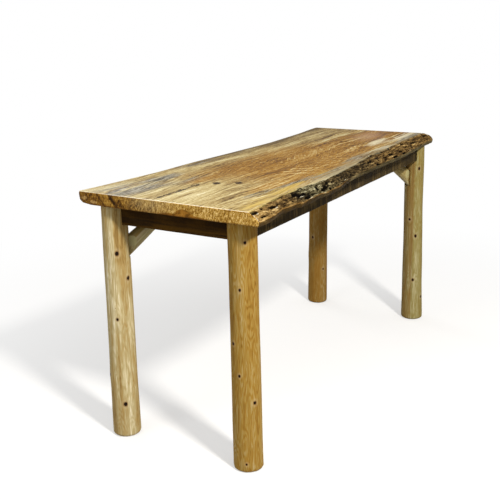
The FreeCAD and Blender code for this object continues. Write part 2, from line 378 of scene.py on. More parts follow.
class Nodes:
    """Short names for the nodes of one material or world."""

    def __init__(self, owner):
        owner.use_nodes = True
        self.tree = owner.node_tree
        self.tree.nodes.clear()

    def feed(self, socket, value):
        """Link a socket to another one or set its value; None leaves it as it is."""
        if isinstance(value, bpy.types.NodeSocket):
            self.tree.links.new(value, socket)
        elif value is not None:
            socket.default_value = value

    def add(self, kind, *values, **options):
        """A new node with its options set and its first sockets fed in order."""
        node = self.tree.nodes.new("ShaderNode" + kind)
        for option, choice in options.items():
            setattr(node, option, choice)
        for socket, value in zip(node.inputs, values):
            self.feed(socket, value)
        return node

    def math(self, kind, a, b=0.0):
        """One step of arithmetic."""
        return self.add("Math", a, b, operation=kind).outputs[0]

    def fold(self, kind, values):
        """One value out of several, taken two at a time."""
        total = values[0]
        for value in values[1:]:
            total = self.math(kind, total, value)
        return total

    def plus(self, *values):
        return self.fold("ADD", values)

    def times(self, *values):
        return self.fold("MULTIPLY", values)

    def most(self, *values):
        return self.fold("MAXIMUM", values)

    def wave(self, phase):
        return self.math("SINE", phase)

    def vector(self, kind, a, b=None):
        """One step of arithmetic on places; a length comes out as one number."""
        return self.add("VectorMath", a, b, operation=kind).outputs["Value" if kind == "LENGTH" else "Vector"]

    def push(self, y, z=0.0, x=0.0):
        """A place or a shift out of single values, across the grain first."""
        return self.add("CombineXYZ", x, y, z).outputs[0]

    def split(self, source):
        """X, Y and Z of a place."""
        return self.add("SeparateXYZ", source).outputs[:3]

    def level(self, value, low, high, to_low=0.0, to_high=1.0, kind="LINEAR"):
        """A value carried in a straight line from one range to another, and held at its ends."""
        return self.add("MapRange", value, low, high, to_low, to_high, interpolation_type=kind).outputs[0]

    def spread(self, value, low, high, to_low=0.0, to_high=1.0):
        """Smooth step of a value between two levels."""
        return self.level(value, low, high, to_low, to_high, "SMOOTHSTEP")

    def blend(self, share, under, over):
        """One colour laid over another by a share."""
        node = self.add("Mix", share, data_type="RGBA")
        self.feed(node.inputs[6], shade(under))
        self.feed(node.inputs[7], shade(over))
        return node.outputs[2]

    def ramp(self, value, *stops):
        """Colours or greys along a value, from stops in rising order."""
        node = self.add("ValToRGB", value)
        bar = node.color_ramp.elements
        while len(bar) < len(stops):
            bar.new(0.5)
        for element, (at, colour) in zip(bar, stops):
            element.position = at
            element.color = shade(colour)
        return node.outputs["Color"]


class Finish(Nodes):
    """One procedural finish, laid out node by node."""

    def __init__(self, name):
        self.material = bpy.data.materials.new(name)
        super().__init__(self.material)
        self.shader = self.add("BsdfPrincipled")
        self.add("OutputMaterial", self.shader.outputs["BSDF"])
        self.here = self.add("TexCoord").outputs["Object"]
        self.x, self.y, self.z = self.split(self.here)

    def place(self, scale, shift=(0.0, 0.0, 0.0), source=None):
        """Object coordinates, stretched."""
        return self.add("Mapping", source or self.here, shift, None, scale).outputs[0]

    def centre(self, middle, half=(1.0, 1.0, 1.0), turn=0.0, source=None):
        """Coordinates measured from a middle point, in half sizes."""
        spin = (0.0, 0.0, math.radians(turn))
        return self.add("Mapping", source or self.here, middle, spin, half, vector_type="TEXTURE").outputs[0]

    def noise(self, scale, shift=(0.0, 0.0, 0.0), source=None, detail=3.0, rough=0.5, warp=0.0):
        """Noise on stretched coordinates, mostly between 0.3 and 0.7."""
        node = self.add("TexNoise", self.place(scale, shift, source))
        for socket, value in (("Scale", 1.0), ("Detail", detail), ("Roughness", rough), ("Distortion", warp)):
            node.inputs[socket].default_value = value
        return node.outputs["Fac"]

    def cells(self, scale):
        """Distance to the nearest of many scattered points."""
        node = self.add("TexVoronoi", self.place(scale))
        node.inputs["Scale"].default_value = 1.0
        return node.outputs["Distance"]

    def painted(self, name):
        """A number that was painted on the mesh."""
        return self.add("Attribute", attribute_name=name).outputs["Fac"]

    def spot(self, at, middle, half, turn=0.0):
        """1 in the middle of an oval, fading to 0 at its rim."""
        reach = self.vector("LENGTH", self.centre(middle, half, turn, at))
        return self.spread(reach, 1.0, 0.0)

    def bump(self, height, depth):
        """Normals for a fine relief of a given depth."""
        node = self.add("Bump", 1.0, depth)
        self.feed(node.inputs["Height"], height)
        return node.outputs["Normal"]

    def close(self, colour, rough, normal, shine=0.5):
        """Feed the shader and hand over the material."""
        self.feed(self.shader.inputs["Base Color"], colour)
        self.feed(self.shader.inputs["Roughness"], rough)
        self.feed(self.shader.inputs["Normal"], normal)
        self.shader.inputs["Specular IOR Level"].default_value = shine
        return self.material


def tinted(ground, code, share):
    """A colour part of the way to another shade."""
    return tuple(g + (t - g) * share for g, t in zip(ground, linear(code)))


def deepened(ground, red, green, blue):
    """A colour with each channel held back."""
    return (ground[0] * red, ground[1] * green, ground[2] * blue, 1.0)


# Slab

# Lower lip of the front live edge, upper rim of its slope, and the back edge, in plan
FRONT_LIP = (
    (-1.05, -0.4165), (-0.963, -0.4195), (-0.860, -0.401), (-0.826, -0.392), (-0.792, -0.404),
    (-0.726, -0.404), (-0.707, -0.417), (-0.623, -0.413), (-0.522, -0.409), (-0.469, -0.419),
    (-0.327, -0.413), (-0.159, -0.382), (-0.050, -0.375), (0.199, -0.379), (0.370, -0.379),
    (0.554, -0.379), (0.740, -0.369), (0.905, -0.356), (1.065, -0.355),
)
FRONT_RIM = (
    (-1.05, -0.370), (-0.856, -0.355), (-0.715, -0.346), (-0.576, -0.341), (-0.487, -0.361), (-0.244, -0.352),
    (-0.033, -0.343), (0.247, -0.306), (0.326, -0.314), (0.695, -0.294), (1.065, -0.289),
)
BACK_EDGE = (
    (-1.050, 0.425), (-0.918, 0.407), (-0.560, 0.372), (-0.292, 0.369), (0.016, 0.347), (0.394, 0.326),
    (0.779, 0.339), (0.977, 0.358), (1.03, 0.355),
)
# How far the underside is waned behind the back edge, and how high that wane rises
BACK_WANE = ((-1.05, 0.062), (-0.93, 0.055), (-0.70, 0.040), (0.0, 0.034), (0.6, 0.046), (1.05, 0.036))
BACK_RISE = ((-1.05, 0.011), (-0.90, 0.014), (0.0, 0.014), (1.05, 0.018))
# The sawn ends are not quite square to the frame: front and back ends of each cut
LEFT_END = (-1.050, -1.031)
RIGHT_END = (1.062, 1.030)
# Share of the front edge that its upright lip takes, the length up the edge, and the step for its slope
LIP_SHARE = 0.28
EDGE_ARC = 0.085
SLOPE_STEP = 0.02
# Rows of cuts along X, Y and Z, in passes
SLAB_ROWS = ((20, 30), (40,), (30,))
# Height of the waves on the front lip, the front rim, the back edge and the sawn ends
LIP_WAVE = 0.0022
RIM_WAVE = 0.0050
BACK_WAVE = 0.0030
SAW_WAVE = 0.0007
# Holes in the live edge: place along it, share of the way up, half length, half height, share of the depth
PITS = (
    (-1.024, 0.84, 0.030, 0.12, 1.0), (-1.005, 0.49, 0.030, 0.04, 0.55), (-0.925, 0.95, 0.030, 0.045, 0.7),
    (-0.960, 0.86, 0.016, 0.04, 0.7), (-0.886, 0.67, 0.042, 0.10, 1.0), (-0.820, 0.95, 0.030, 0.05, 0.7),
    (-0.745, 0.50, 0.014, 0.08, 0.6), (-0.690, 0.75, 0.040, 0.12, 1.0), (-0.655, 0.66, 0.036, 0.06, 0.7),
    (-0.632, 0.42, 0.028, 0.09, 1.0), (-0.585, 0.80, 0.013, 0.10, 0.8), (-0.550, 0.62, 0.013, 0.11, 0.8),
    (-0.512, 0.72, 0.015, 0.12, 0.9), (-0.487, 0.50, 0.015, 0.10, 0.9), (-0.455, 0.60, 0.015, 0.11, 0.9),
    (-0.438, 0.42, 0.018, 0.08, 0.9), (-0.125, 0.32, 0.040, 0.06, 0.8), (0.042, 0.22, 0.030, 0.05, 0.8),
    (0.130, 0.68, 0.036, 0.07, 0.7), (0.190, 0.36, 0.030, 0.09, 0.9), (0.310, 0.46, 0.028, 0.08, 0.8),
    (0.335, 0.92, 0.050, 0.06, 0.9), (0.400, 0.62, 0.040, 0.05, 0.7), (0.420, 0.37, 0.034, 0.07, 0.9),
    (0.540, 0.53, 0.028, 0.07, 1.0), (0.645, 0.86, 0.040, 0.06, 1.0), (0.780, 0.67, 0.030, 0.07, 0.9),
    (0.840, 0.32, 0.050, 0.06, 0.8), (1.015, 0.80, 0.028, 0.07, 1.0),
)
# Pale rims below the larger holes, painted highlights on a slight rise: as for the holes, with the paleness
# last
GLINTS = (
    (-1.018, 0.70, 0.016, 0.05, 1.0), (-0.872, 0.54, 0.028, 0.04, 1.0), (-0.650, 0.62, 0.026, 0.035, 0.9),
    (-0.622, 0.335, 0.026, 0.035, 1.0), (-0.250, 0.42, 0.030, 0.035, 0.6), (-0.215, 0.38, 0.022, 0.035, 0.5),
    (0.215, 0.96, 0.026, 0.04, 0.7), (0.650, 0.36, 0.034, 0.04, 0.5),
)
# Strokes of colour on the top: middle, half length, half width, turn in degrees, weight
PALE_STROKES = (
    (-0.92, -0.07, 0.40, 0.22, 0.0, 1.0), (-0.60, -0.17, 0.42, 0.12, -4.0, 0.8),
    (-0.98, 0.39, 0.40, 0.06, -6.0, 0.9), (-0.98, 0.14, 0.30, 0.06, 0.0, 0.6),
    (-0.46, -0.35, 0.50, 0.03, 3.0, 1.1), (0.70, 0.086, 0.52, 0.033, 0.0, 1.3),
    (0.92, 0.046, 0.24, 0.018, 0.0, 1.3), (0.28, 0.190, 0.44, 0.060, -3.0, 0.5),
    (-0.16, 0.258, 0.36, 0.032, -7.0, 1.3), (0.65, -0.185, 0.27, 0.056, 5.0, 1.3),
    (0.80, 0.225, 0.36, 0.045, -2.0, 0.7), (-0.40, 0.292, 0.34, 0.030, -5.0, 0.9),
    (0.86, -0.232, 0.34, 0.026, -1.0, 2.3), (0.46, -0.285, 0.28, 0.030, -7.0, 2.0),
    (0.90, -0.262, 0.28, 0.022, 0.0, 2.2), (-0.08, -0.305, 0.40, 0.035, 4.0, 0.8),
)
CURLED_STROKES = (
    (-0.26, -0.18, 0.20, 0.11, 0.0, 1.1), (0.05, -0.20, 0.30, 0.10, -5.0, 0.5),
    (0.42, -0.15, 0.30, 0.12, -3.0, 0.55), (-0.05, 0.03, 0.40, 0.14, -8.0, 0.25),
)
AMBER_STROKES = ((-0.56, -0.225, 0.30, 0.060, -3.0, 1.0), (-0.60, 0.095, 0.18, 0.060, -4.0, 1.0))
YELLOW_STROKES = (
    (-0.90, -0.325, 0.22, 0.050, 4.0, 1.0), (-0.62, -0.305, 0.34, 0.048, 2.0, 1.0),
    (-0.37, -0.297, 0.28, 0.034, 3.0, 0.7),
)
BLUSH_STROKES = ((0.83, -0.060, 0.28, 0.120, 10.0, 1.0),)
STAIN_STROKES = (
    (-0.92, 0.225, 0.34, 0.115, -4.0, 1.3), (-0.68, 0.265, 0.24, 0.070, -2.0, 1.3),
    (-0.72, 0.15, 0.34, 0.060, -5.0, 0.7), (-0.92, 0.33, 0.30, 0.070, -5.0, 0.7),
    (-0.76, -0.255, 0.22, 0.026, -8.0, 1.0), (-0.45, -0.290, 0.30, 0.030, -4.0, 1.2),
    (-0.30, 0.325, 0.34, 0.034, -4.0, 0.8), (-0.24, -0.325, 0.40, 0.026, 3.0, 1.2),
    (0.16, -0.285, 0.30, 0.048, 2.0, 1.1), (0.84, -0.282, 0.32, 0.032, 1.0, 2.0),
    (0.98, -0.275, 0.16, 0.034, 0.0, 1.6),
)
KNOT_STROKES = (
    (-0.661, 0.003, 0.034, 0.022, 20.0, 1.0), (-0.614, -0.077, 0.032, 0.022, 20.0, 1.0),
    (-0.950, 0.058, 0.100, 0.012, -1.0, 0.8), (-0.845, 0.054, 0.085, 0.015, -3.0, 1.0),
    (-0.745, 0.057, 0.075, 0.012, 4.0, 0.8),
)


def front_profile(x, share, settings):
    """Plan place and height of the front live edge, from the underside (0) to the upper rim (1)."""
    lip = soft_line(FRONT_LIP, x, 0.016)
    wane = soft_line(FRONT_RIM, x, 0.05) - lip
    low = np.clip(share / LIP_SHARE, 0.0, 1.0)
    straight = np.clip((share - LIP_SHARE) / (1.0 - LIP_SHARE), 0.0, 1.0)
    bow = straight * math.pi / 2.0
    rounded = 0.45 + 0.5 * ease(x, 0.93, 1.03)
    inwards = rounded * (1.0 - np.cos(bow)) + (1.0 - rounded) * straight
    upwards = rounded * np.sin(bow) + (1.0 - rounded) * straight
    y = lip + settings.lip_tuck * (1.0 - low) ** 2 + wane * inwards
    z = settings.lip_height * low + (THICKNESS - settings.lip_height) * upwards
    return y, z


def back_profile(x, share):
    """Plan place and height of the back live edge, from the underside (0) to the top (1)."""
    edge = soft_line(BACK_EDGE, x, 0.08)
    wane = soft_line(BACK_WANE, x, 0.05)
    rise = soft_line(BACK_RISE, x, 0.05)
    # Share of the way up, place behind the edge, height
    stops = (
        (0.0, -wane, 0.0), (0.35, -0.30 * wane, 0.55 * rise), (0.60, -0.004, rise + 0.006),
        (0.85, 0.0, THICKNESS - 0.012), (1.0, -0.003, THICKNESS),
    )
    y = np.zeros_like(x)
    z = np.zeros_like(x)
    for (start, y0, z0), (end, y1, z1) in zip(stops, stops[1:]):
        inside = (share >= start) & (share <= end)
        step = (share - start) / (end - start)
        y = np.where(inside, y0 + (y1 - y0) * step, y)
        z = np.where(inside, z0 + (z1 - z0) * step, z)
    return edge + y, z


def live_edge_relief(x, share, settings):
    """Knobs, creases and holes of the live edge: height above its plain slope, holes and the pale rims that
    are painted highlights.
    """
    strips = strip(x, share * EDGE_ARC)
    bent = strips.copy()
    bent[:, 1] += 0.010 * swirl(strips, (8.0, 9.0, 1.0), 1.0)
    bent[:, 0] += 0.010 * swirl(strips, (16.0, 30.0, 1.0), 1.5)
    wild = 0.55 + 0.45 * ease(x, -0.95, -0.70)
    calm = ease(x, -0.44, -0.30) * (1.0 - ease(x, 0.10, 0.30))
    upper = ease(share, 0.24, 0.40)
    flaky = ease(x, 0.0, 0.35)
    knobs = np.abs(swirl(bent, (20.0, 52.0, 1.0), 3.0))
    flakes = np.abs(swirl(bent, (9.0, 64.0, 1.0), 3.4))
    knobs += flaky * (flakes - knobs)
    ridges = np.abs(swirl(bent, (8.0, 80.0, 1.0), 2.0))
    fine = swirl(bent, (60.0, 190.0, 1.0), 4.0)
    rough = (1.0 - 0.55 * calm) * wild * (0.20 + 0.80 * upper)
    creased = np.minimum(2.6 * knobs, 0.6 + 1.8 * ridges) - 0.75
    height = settings.roughness_depth * (rough * creased + 0.30 * wild * fine)
    gnawed = swirl(bent, (12.0, 50.0, 1.0), 6.0, 3) - 0.5 * knobs
    holes = 0.8 * (1.0 - 0.8 * calm) * ease(x, -0.66, -0.55) * upper * ease(gnawed, 0.34, 0.66)
    wobble = 1.1 * (knobs - 0.3) + 0.45 * swirl(bent, (30.0, 60.0, 1.0), 7.0)
    for at, up, half_length, half_height, depth in PITS:
        reach = np.hypot((x - at) / half_length, (share - up) / half_height) + wobble
        holes = np.maximum(holes, depth * ease(-reach, -1.0, -0.35))
    rims = np.zeros_like(x)
    for at, up, half_length, half_height, paleness in GLINTS:
        reach = np.hypot((x - at) / half_length, (share - up) / half_height) + 0.5 * wobble
        rims = np.maximum(rims, paleness * ease(-reach, -1.0, -0.3))
    height += settings.roughness_depth * 0.5 * rims - settings.pit_depth * holes
    return height * ease(share, 0.02, 0.16) * (1.0 - ease(share, 0.97, 1.0)), holes, rims


def shape_slab(slab, settings):
    """Bring the plain block to the live-edge outline and roughen its edges."""
    box = points_of(slab)
    size = SLAB_HIGH - SLAB_LOW
    along = (box[:, 0] - SLAB_LOW.x) / size.x
    back = (box[:, 1] - SLAB_LOW.y) / size.y
    share = np.clip((box[:, 2] - SLAB_LOW.z) / size.z, 0.0, 1.0)
    front_x = LEFT_END[0] + (RIGHT_END[0] - LEFT_END[0]) * along
    back_x = LEFT_END[1] + (RIGHT_END[1] - LEFT_END[1]) * along
    front_y, front_z = front_profile(front_x, share, settings)
    back_y, back_z = back_profile(back_x, share)

    rim = back < HAIR
    x, up = front_x[rim], share[rim]
    y0, z0 = front_profile(x, np.clip(up - SLOPE_STEP, 0.0, 1.0), settings)
    y1, z1 = front_profile(x, np.clip(up + SLOPE_STEP, 0.0, 1.0), settings)
    run = np.hypot(y1 - y0, z1 - z0)
    height, holes, rims = live_edge_relief(x, up, settings)
    front_y[rim] += -(z1 - z0) / run * height
    front_z[rim] += (y1 - y0) / run * height
    front_y[rim] += LIP_WAVE * swirl(strip(x), (24.0, 1.0, 1.0), 8.0, 3) * (1.0 - ease(up, 0.1, 0.5))
    front_y[rim] += RIM_WAVE * swirl(strip(x), (13.0, 1.0, 1.0), 9.0, 3) * ease(up, 0.7, 1.0)

    tail = back > 1.0 - HAIR
    ripple = swirl(strip(back_x[tail], 0.06 * share[tail]), (8.0, 40.0, 1.0), 11.0, 3)
    back_y[tail] += BACK_WAVE * ripple * (1.0 - ease(share[tail], 0.9, 1.0))

    places = np.stack([
        front_x + (back_x - front_x) * back,
        front_y + (back_y - front_y) * back,
        UNDERSIDE + np.minimum(front_z + (back_z - front_z) * back, THICKNESS),
    ], axis=1)
    ends = (along < HAIR) | (along > 1.0 - HAIR)
    saw = swirl(places[ends], (1.0, 30.0, 60.0), 13.0, 3)
    places[ends, 0] += SAW_WAVE * saw * np.sign(along[ends] - 0.5)
    move_points(slab, places)

    relief = height / settings.roughness_depth
    # The relief and pit masks also drive painted shade in the live edge's material, and the rim mask drives
    # its painted highlights.
    for name, values in (("relief", relief), ("pits", holes), ("worn", rims), ("slope", up)):
        everywhere = np.zeros(len(box))
        everywhere[rim] = values
        paint(slab, name, everywhere)
    rim_y, _ = front_profile(front_x, np.ones_like(front_x), settings)
    paint(slab, "from_front", places[:, 1] - rim_y)
    edge_y, _ = back_profile(back_x, np.ones_like(back_x))
    paint(slab, "from_back", edge_y - places[:, 1])
    paint(slab, "from_end", np.minimum(along, 1.0 - along) * size.x)


class SlabWood(Finish):
    """The slab's own wood: its grain, and strokes of colour that follow it."""

    def __init__(self, name):
        super().__init__(name)
        self.flat = self.place((1.0, 1.0, 0.0))
        drift = self.noise((0.9, 3.0, 0.0), detail=2.0)
        flutter = self.noise((4.5, 19.0, 0.0))
        wavy = self.wave(self.plus(self.times(self.x, 84.0), self.level(flutter, 0.0, 1.0, -8.0, 8.0)))
        wavy = self.times(self.level(wavy, -1.0, 1.0, -0.0048, 0.0048),
                          self.spot(self.flat, (0.12, -0.08, 0.0), (0.90, 0.42, 1.0)))
        aside = self.plus(self.level(drift, 0.0, 1.0, -0.09, 0.09),
                          self.level(flutter, 0.0, 1.0, -0.022, 0.022), wavy)
        grain = self.vector("ADD", self.flat, self.push(aside))
        self.bands = self.noise((0.8, 15.0, 0.0), source=grain, detail=5.0, rough=0.60)
        self.streaks = self.noise((2.0, 62.0, 0.0), (2.0, 7.0, 0.0), grain, detail=4.0, rough=0.66)
        self.fibres = self.noise((5.0, 170.0, 0.0), source=grain, detail=4.0, rough=0.70)
        self.flecks = self.noise((34.0, 150.0, 0.0), (5.0, 1.0, 0.0), grain, rough=0.7)
        veins = self.noise((0.62, 25.0, 0.0), (4.1, 2.3, 0.0), grain)
        veins = self.spread(self.math("ABSOLUTE", self.math("SUBTRACT", veins, 0.5)), 0.030, 0.0)
        fade = self.spread(self.noise((2.6, 9.0, 0.0), (7.0, 0.0, 0.0), detail=2.0), 0.44, 0.64)
        self.veins = self.times(veins, fade)
        feather = self.noise((3.4, 48.0, 0.0), source=grain, detail=4.0, rough=0.6)
        self.feather = self.level(feather, 0.0, 1.0, -0.060, 0.060)

    def ovals(self, at, rows):
        """Soft ovals on the top, the strongest where they overlap."""
        return self.most(*(
            self.times(self.spot(at, (x, y, 0.0), (half_length, half_width, 1.0), turn), weight)
            for x, y, half_length, half_width, turn, weight in rows
        ))

    def strokes(self, rows):
        """Ovals with edges feathered along the grain."""
        return self.ovals(self.vector("ADD", self.flat, self.push(self.feather)), rows)

    def beside(self, edge, far, near, most=1.0):
        """A strip along one of the slab's edges, feathered along the grain."""
        return self.spread(self.plus(self.painted(edge), self.feather), far, near, 0.0, most)


def slab_ground(wood, look):
    """Orange heartwood between pale sapwood at the left end and along the back, with curled figure."""
    pale = wood.strokes(PALE_STROKES)
    slant = wood.plus(wood.times(wood.x, 0.80), wood.times(wood.y, 0.60))
    bent = wood.noise((6.0, 8.0, 0.0), (1.0, 5.0, 0.0), detail=2.0)
    ripple = wood.wave(wood.plus(wood.times(slant, 112.0), wood.level(bent, 0.0, 1.0, -6.0, 6.0)))
    curl = wood.times(wood.strokes(CURLED_STROKES), wood.level(ripple, -1.0, 1.0, -0.09, 0.21))

    left = wood.spread(wood.x, -0.35, -0.72)
    right = wood.spread(wood.x, 0.10, 0.60)
    swing = wood.plus(wood.level(left, 0.0, 1.0, 0.70, 1.05), wood.times(right, 0.55))
    behind = wood.plus(wood.y, wood.times(right, 0.10), wood.feather)
    behind = wood.spread(behind, 0.12, 0.27, 0.0, 0.80)
    lines = wood.spread(wood.fibres, 0.47, 0.36)
    tone = wood.plus(
        wood.level(left, 0.0, 1.0, 0.44, 0.51), wood.times(right, -0.01),
        wood.times(wood.level(wood.bands, 0.28, 0.72, -0.20, 0.20), swing),
        wood.times(wood.level(wood.streaks, 0.32, 0.68, -0.20, 0.18), swing),
        wood.level(wood.fibres, 0.34, 0.66, -0.15, 0.15), wood.level(wood.flecks, 0.34, 0.66, -0.12, 0.12),
        wood.times(lines, wood.level(left, 0.0, 1.0, -0.08, -0.17)),
        wood.times(pale, 0.17), wood.times(wood.veins, -0.12), curl, wood.times(behind, 0.05),
    )
    heart = wood.ramp(tone, (0.02, look.line), (0.20, "#614219"), (0.36, look.orange), (0.50, look.honey),
                      (0.76, look.cream), (1.00, "#E4D9B4"))
    sap = wood.ramp(tone, (0.02, look.line), (0.20, "#5D492A"), (0.36, "#8B754A"), (0.50, "#AD9864"),
                    (0.76, "#D2C595"), (1.00, "#EAE3C8"))
    paleness = wood.times(wood.level(pale, 0.3, 1.0), wood.spread(wood.x, 0.0, 0.3))
    faded = wood.times(wood.level(left, 0.0, 1.0, 0.0, 0.85),
                       wood.level(wood.strokes(AMBER_STROKES), 0.0, 0.5, 1.0, 0.05))
    colour = wood.blend(wood.most(faded, paleness, behind), heart, sap)
    whitened = wood.times(paleness, wood.spread(wood.y, -0.02, -0.18, 0.0, 0.45))
    return wood.blend(whitened, colour, "#E0D6BC")


def slab_stains(wood, look, colour):
    """Yellow bands beside the live edge, a pink patch at the right and grey-blue stains."""
    yellow = wood.times(wood.strokes(YELLOW_STROKES), wood.level(wood.streaks, 0.25, 0.60, 0.2, 1.2))
    colour = wood.blend(wood.spread(yellow, 0.10, 0.85, 0.0, 0.70), colour, look.yellow)
    blush = wood.times(wood.strokes(BLUSH_STROKES), wood.level(wood.streaks, 0.36, 0.64, 1.0, 0.35))
    colour = wood.blend(blush, colour, look.blush)
    stain = wood.times(wood.strokes(STAIN_STROKES), wood.level(wood.streaks, 0.30, 0.66, 1.3, 0.35))
    stained = wood.blend(wood.spread(wood.flecks, 0.42, 0.58), look.grey, "#BAB4A2")
    stained = wood.blend(wood.spread(wood.fibres, 0.43, 0.58), "#3F392F", stained)
    return wood.blend(wood.spread(stain, 0.06, 0.85, 0.0, 0.90), colour, stained)


def slab_rims(wood, look, colour):
    """Grey-brown wood along both live edges, with a bleached line in front, left of the middle."""
    back = wood.times(wood.beside("from_back", 0.080, 0.0), wood.spread(wood.x, -0.50, -0.15, 0.08, 0.95),
                      wood.level(wood.fibres, 0.35, 0.65, 1.15, 0.65))
    colour = wood.blend(back, colour, look.dusk)
    front = wood.times(wood.beside("from_front", 0.082, 0.0), wood.spread(wood.x, -0.62, -0.25, 0.10, 0.80),
                       wood.spread(wood.x, 0.30, 0.65, 1.0, 0.5))
    front_tone = wood.blend(wood.spread(wood.streaks, 0.36, 0.60), "#B5A67C", look.dusk)
    colour = wood.blend(front, colour, front_tone)
    stretch = wood.times(wood.spread(wood.x, -0.66, -0.42), wood.spread(wood.x, 0.20, -0.05))
    bleached = wood.times(wood.beside("from_front", 0.030, 0.004, 0.60), stretch,
                          wood.level(wood.streaks, 0.34, 0.66, 0.30, 1.0))
    return wood.blend(bleached, colour, "#B9AF8E")


def slab_knots(wood, colour):
    """Dark knots and cracks with ragged edges."""
    ragged = wood.level(wood.flecks, 0.3, 0.7, -0.014, 0.014)
    knots = wood.ovals(wood.vector("ADD", wood.flat, wood.push(ragged, 0.0, ragged)), KNOT_STROKES)
    return wood.blend(wood.spread(knots, 0.05, 0.40, 0.0, 0.95), colour, "#2A170A")


def slab_face_finish(name, look, polished):
    """Streaked, stained slab wood, oiled on top and plain sawn below."""
    wood = SlabWood(name)
    colour = slab_ground(wood, look)
    colour = slab_stains(wood, look, colour)
    colour = slab_rims(wood, look, colour)
    colour = slab_knots(wood, colour)
    height = wood.plus(wood.times(wood.fibres, 0.6), wood.times(wood.veins, -0.5))
    if polished:
        # Pale line along the eased arris at each end, stronger towards the front: painted highlight.
        worn = wood.plus(wood.painted("from_end"), wood.level(wood.flecks, 0.0, 1.0, -0.005, 0.005))
        worn = wood.times(wood.spread(worn, 0.0055, 0.0025), wood.spread(wood.y, 0.36, 0.10, 0.35, 0.9))
        colour = wood.blend(worn, colour, "#F2EAD2")
        rough = wood.level(wood.plus(wood.times(wood.fibres, 0.5), wood.bands), 0.4, 1.1, 0.34, 0.54)
        return wood.close(colour, rough, wood.bump(height, 0.0003), 0.07)
    arcs = wood.plus(wood.x, wood.times(wood.math("POWER", wood.y, 2.0), 0.35))
    arcs = wood.noise((150.0, 0.0, 0.0), source=wood.push(0.0, 0.0, arcs), detail=2.0)
    colour = wood.blend(wood.spread(arcs, 0.45, 0.65, 0.0, 0.30), colour, look.line)
    height = wood.plus(height, wood.times(arcs, 1.2))
    return wood.close(colour, wood.level(wood.fibres, 0.3, 0.7, 0.70, 0.88), wood.bump(height, 0.0006), 0.3)


def live_edge_lip(wood, colour, along, strands):
    """The upright lip below the front slope, painted dark, partly its own colour and partly painted shade
    where it faces down; a painted highlight along its corner at each end; and the pale rim above the slope.
    """
    brow = wood.plus(wood.painted("slope"), wood.level(strands, 0.3, 0.7, -0.04, 0.04))
    # The lip is painted dark: partly its own colour, partly painted shade where it faces down under the
    # slope.
    lip = wood.ramp(along, (0.00, "#47351A"), (0.20, "#3A2C16"), (0.38, "#3C2F1A"), (0.45, "#8A7A54"),
                    (0.51, "#40371F"), (0.62, "#5A5136"), (1.00, "#665B3E"))
    lip = wood.blend(wood.spread(strands, 0.52, 0.36, 0.0, 0.75), lip, "#241A0C")
    colour = wood.blend(wood.spread(brow, 0.34, 0.27, 0.0, 0.88), colour, lip)
    edge = wood.times(wood.spread(brow, 0.27, 0.30), wood.spread(brow, 0.37, 0.32),
                      wood.spread(along, 0.40, 0.30, 0.05, 0.32))
    colour = wood.blend(edge, colour, "#A5793C")
    rim = wood.times(wood.spread(brow, 0.93, 1.0), wood.spread(along, 0.48, 0.30, 0.25, 0.75))
    colour = wood.blend(rim, colour, wood.blend(wood.spread(along, 0.16, 0.30), "#C4AE6C", "#BDB594"))
    # Pale corner at each end above the lip: painted highlight.
    corner = wood.times(wood.spread(wood.painted("from_end"), 0.0065, 0.0035),
                        wood.spread(brow, 0.30, 0.45), 0.8)
    return wood.blend(corner, colour, "#E6DDC6")


def live_edge_finish(name, front):
    """Weathered wood under the bark: golden at the left end, then grey, then dark, and brown at the right."""
    wood = Finish(name)
    patchy = wood.noise((5.0, 12.0, 12.0))
    along = wood.level(wood.plus(wood.x, wood.level(patchy, 0.3, 0.7, -0.08, 0.08)), -1.05, 1.05)
    strands = wood.noise((13.0, 115.0, 115.0), detail=5.0, rough=0.68, warp=0.4)
    crumbs = wood.noise((46.0, 150.0, 150.0), detail=4.0, rough=0.66)
    # The tone follows the relief: painted shade in the creases and painted light on the knobs, over the
    # wood's own streaks.
    tone = wood.plus(
        wood.ramp(along, (0.00, 0.63), (0.09, 0.57), (0.14, 0.37), (0.20, 0.35), (0.25, 0.48), (0.34, 0.35),
                  (0.39, 0.22), (0.45, 0.29), (0.52, 0.37), (0.68, 0.49), (1.00, 0.53)),
        wood.level(wood.painted("relief"), -1.2, 1.2, -0.30, 0.30),
        wood.level(strands, 0.3, 0.7, -0.30, 0.30), wood.level(crumbs, 0.3, 0.7, -0.26, 0.26),
    )
    warm = wood.ramp(tone, (0.04, "#0E0804"), (0.25, "#33230F"), (0.48, "#624A27"), (0.70, "#92723D"),
                     (0.95, "#CDB077"))
    cool = wood.ramp(tone, (0.04, "#0C0B07"), (0.25, "#2B2717"), (0.48, "#5C563D"), (0.70, "#949174"),
                     (0.95, "#CFCFB2"))
    greyness = wood.ramp(along, (0.00, 0.05), (0.14, 0.15), (0.21, 0.85), (0.28, 0.85), (0.34, 0.45),
                         (0.50, 0.40), (0.62, 0.08), (1.00, 0.03))
    colour = wood.blend(greyness, warm, cool)
    # The holes are painted near black: painted shade in the pits.
    hollow = wood.plus(wood.painted("pits"), wood.level(crumbs, 0.3, 0.7, -0.12, 0.12))
    colour = wood.blend(wood.spread(hollow, 0.22, 0.50, 0.0, 0.95), colour, "#080502")
    # Pale rims below the larger holes: painted highlights.
    glint = wood.plus(wood.painted("worn"), wood.level(strands, 0.3, 0.7, -0.25, 0.25))
    colour = wood.blend(wood.spread(glint, 0.25, 0.85, 0.0, 0.85), colour, "#DBD2B6")
    if front:
        colour = live_edge_lip(wood, colour, along, strands)
    height = wood.plus(strands, wood.times(crumbs, 0.6))
    return wood.close(colour, wood.level(crumbs, 0.3, 0.7, 0.55, 0.80), wood.bump(height, 0.0024), 0.03)


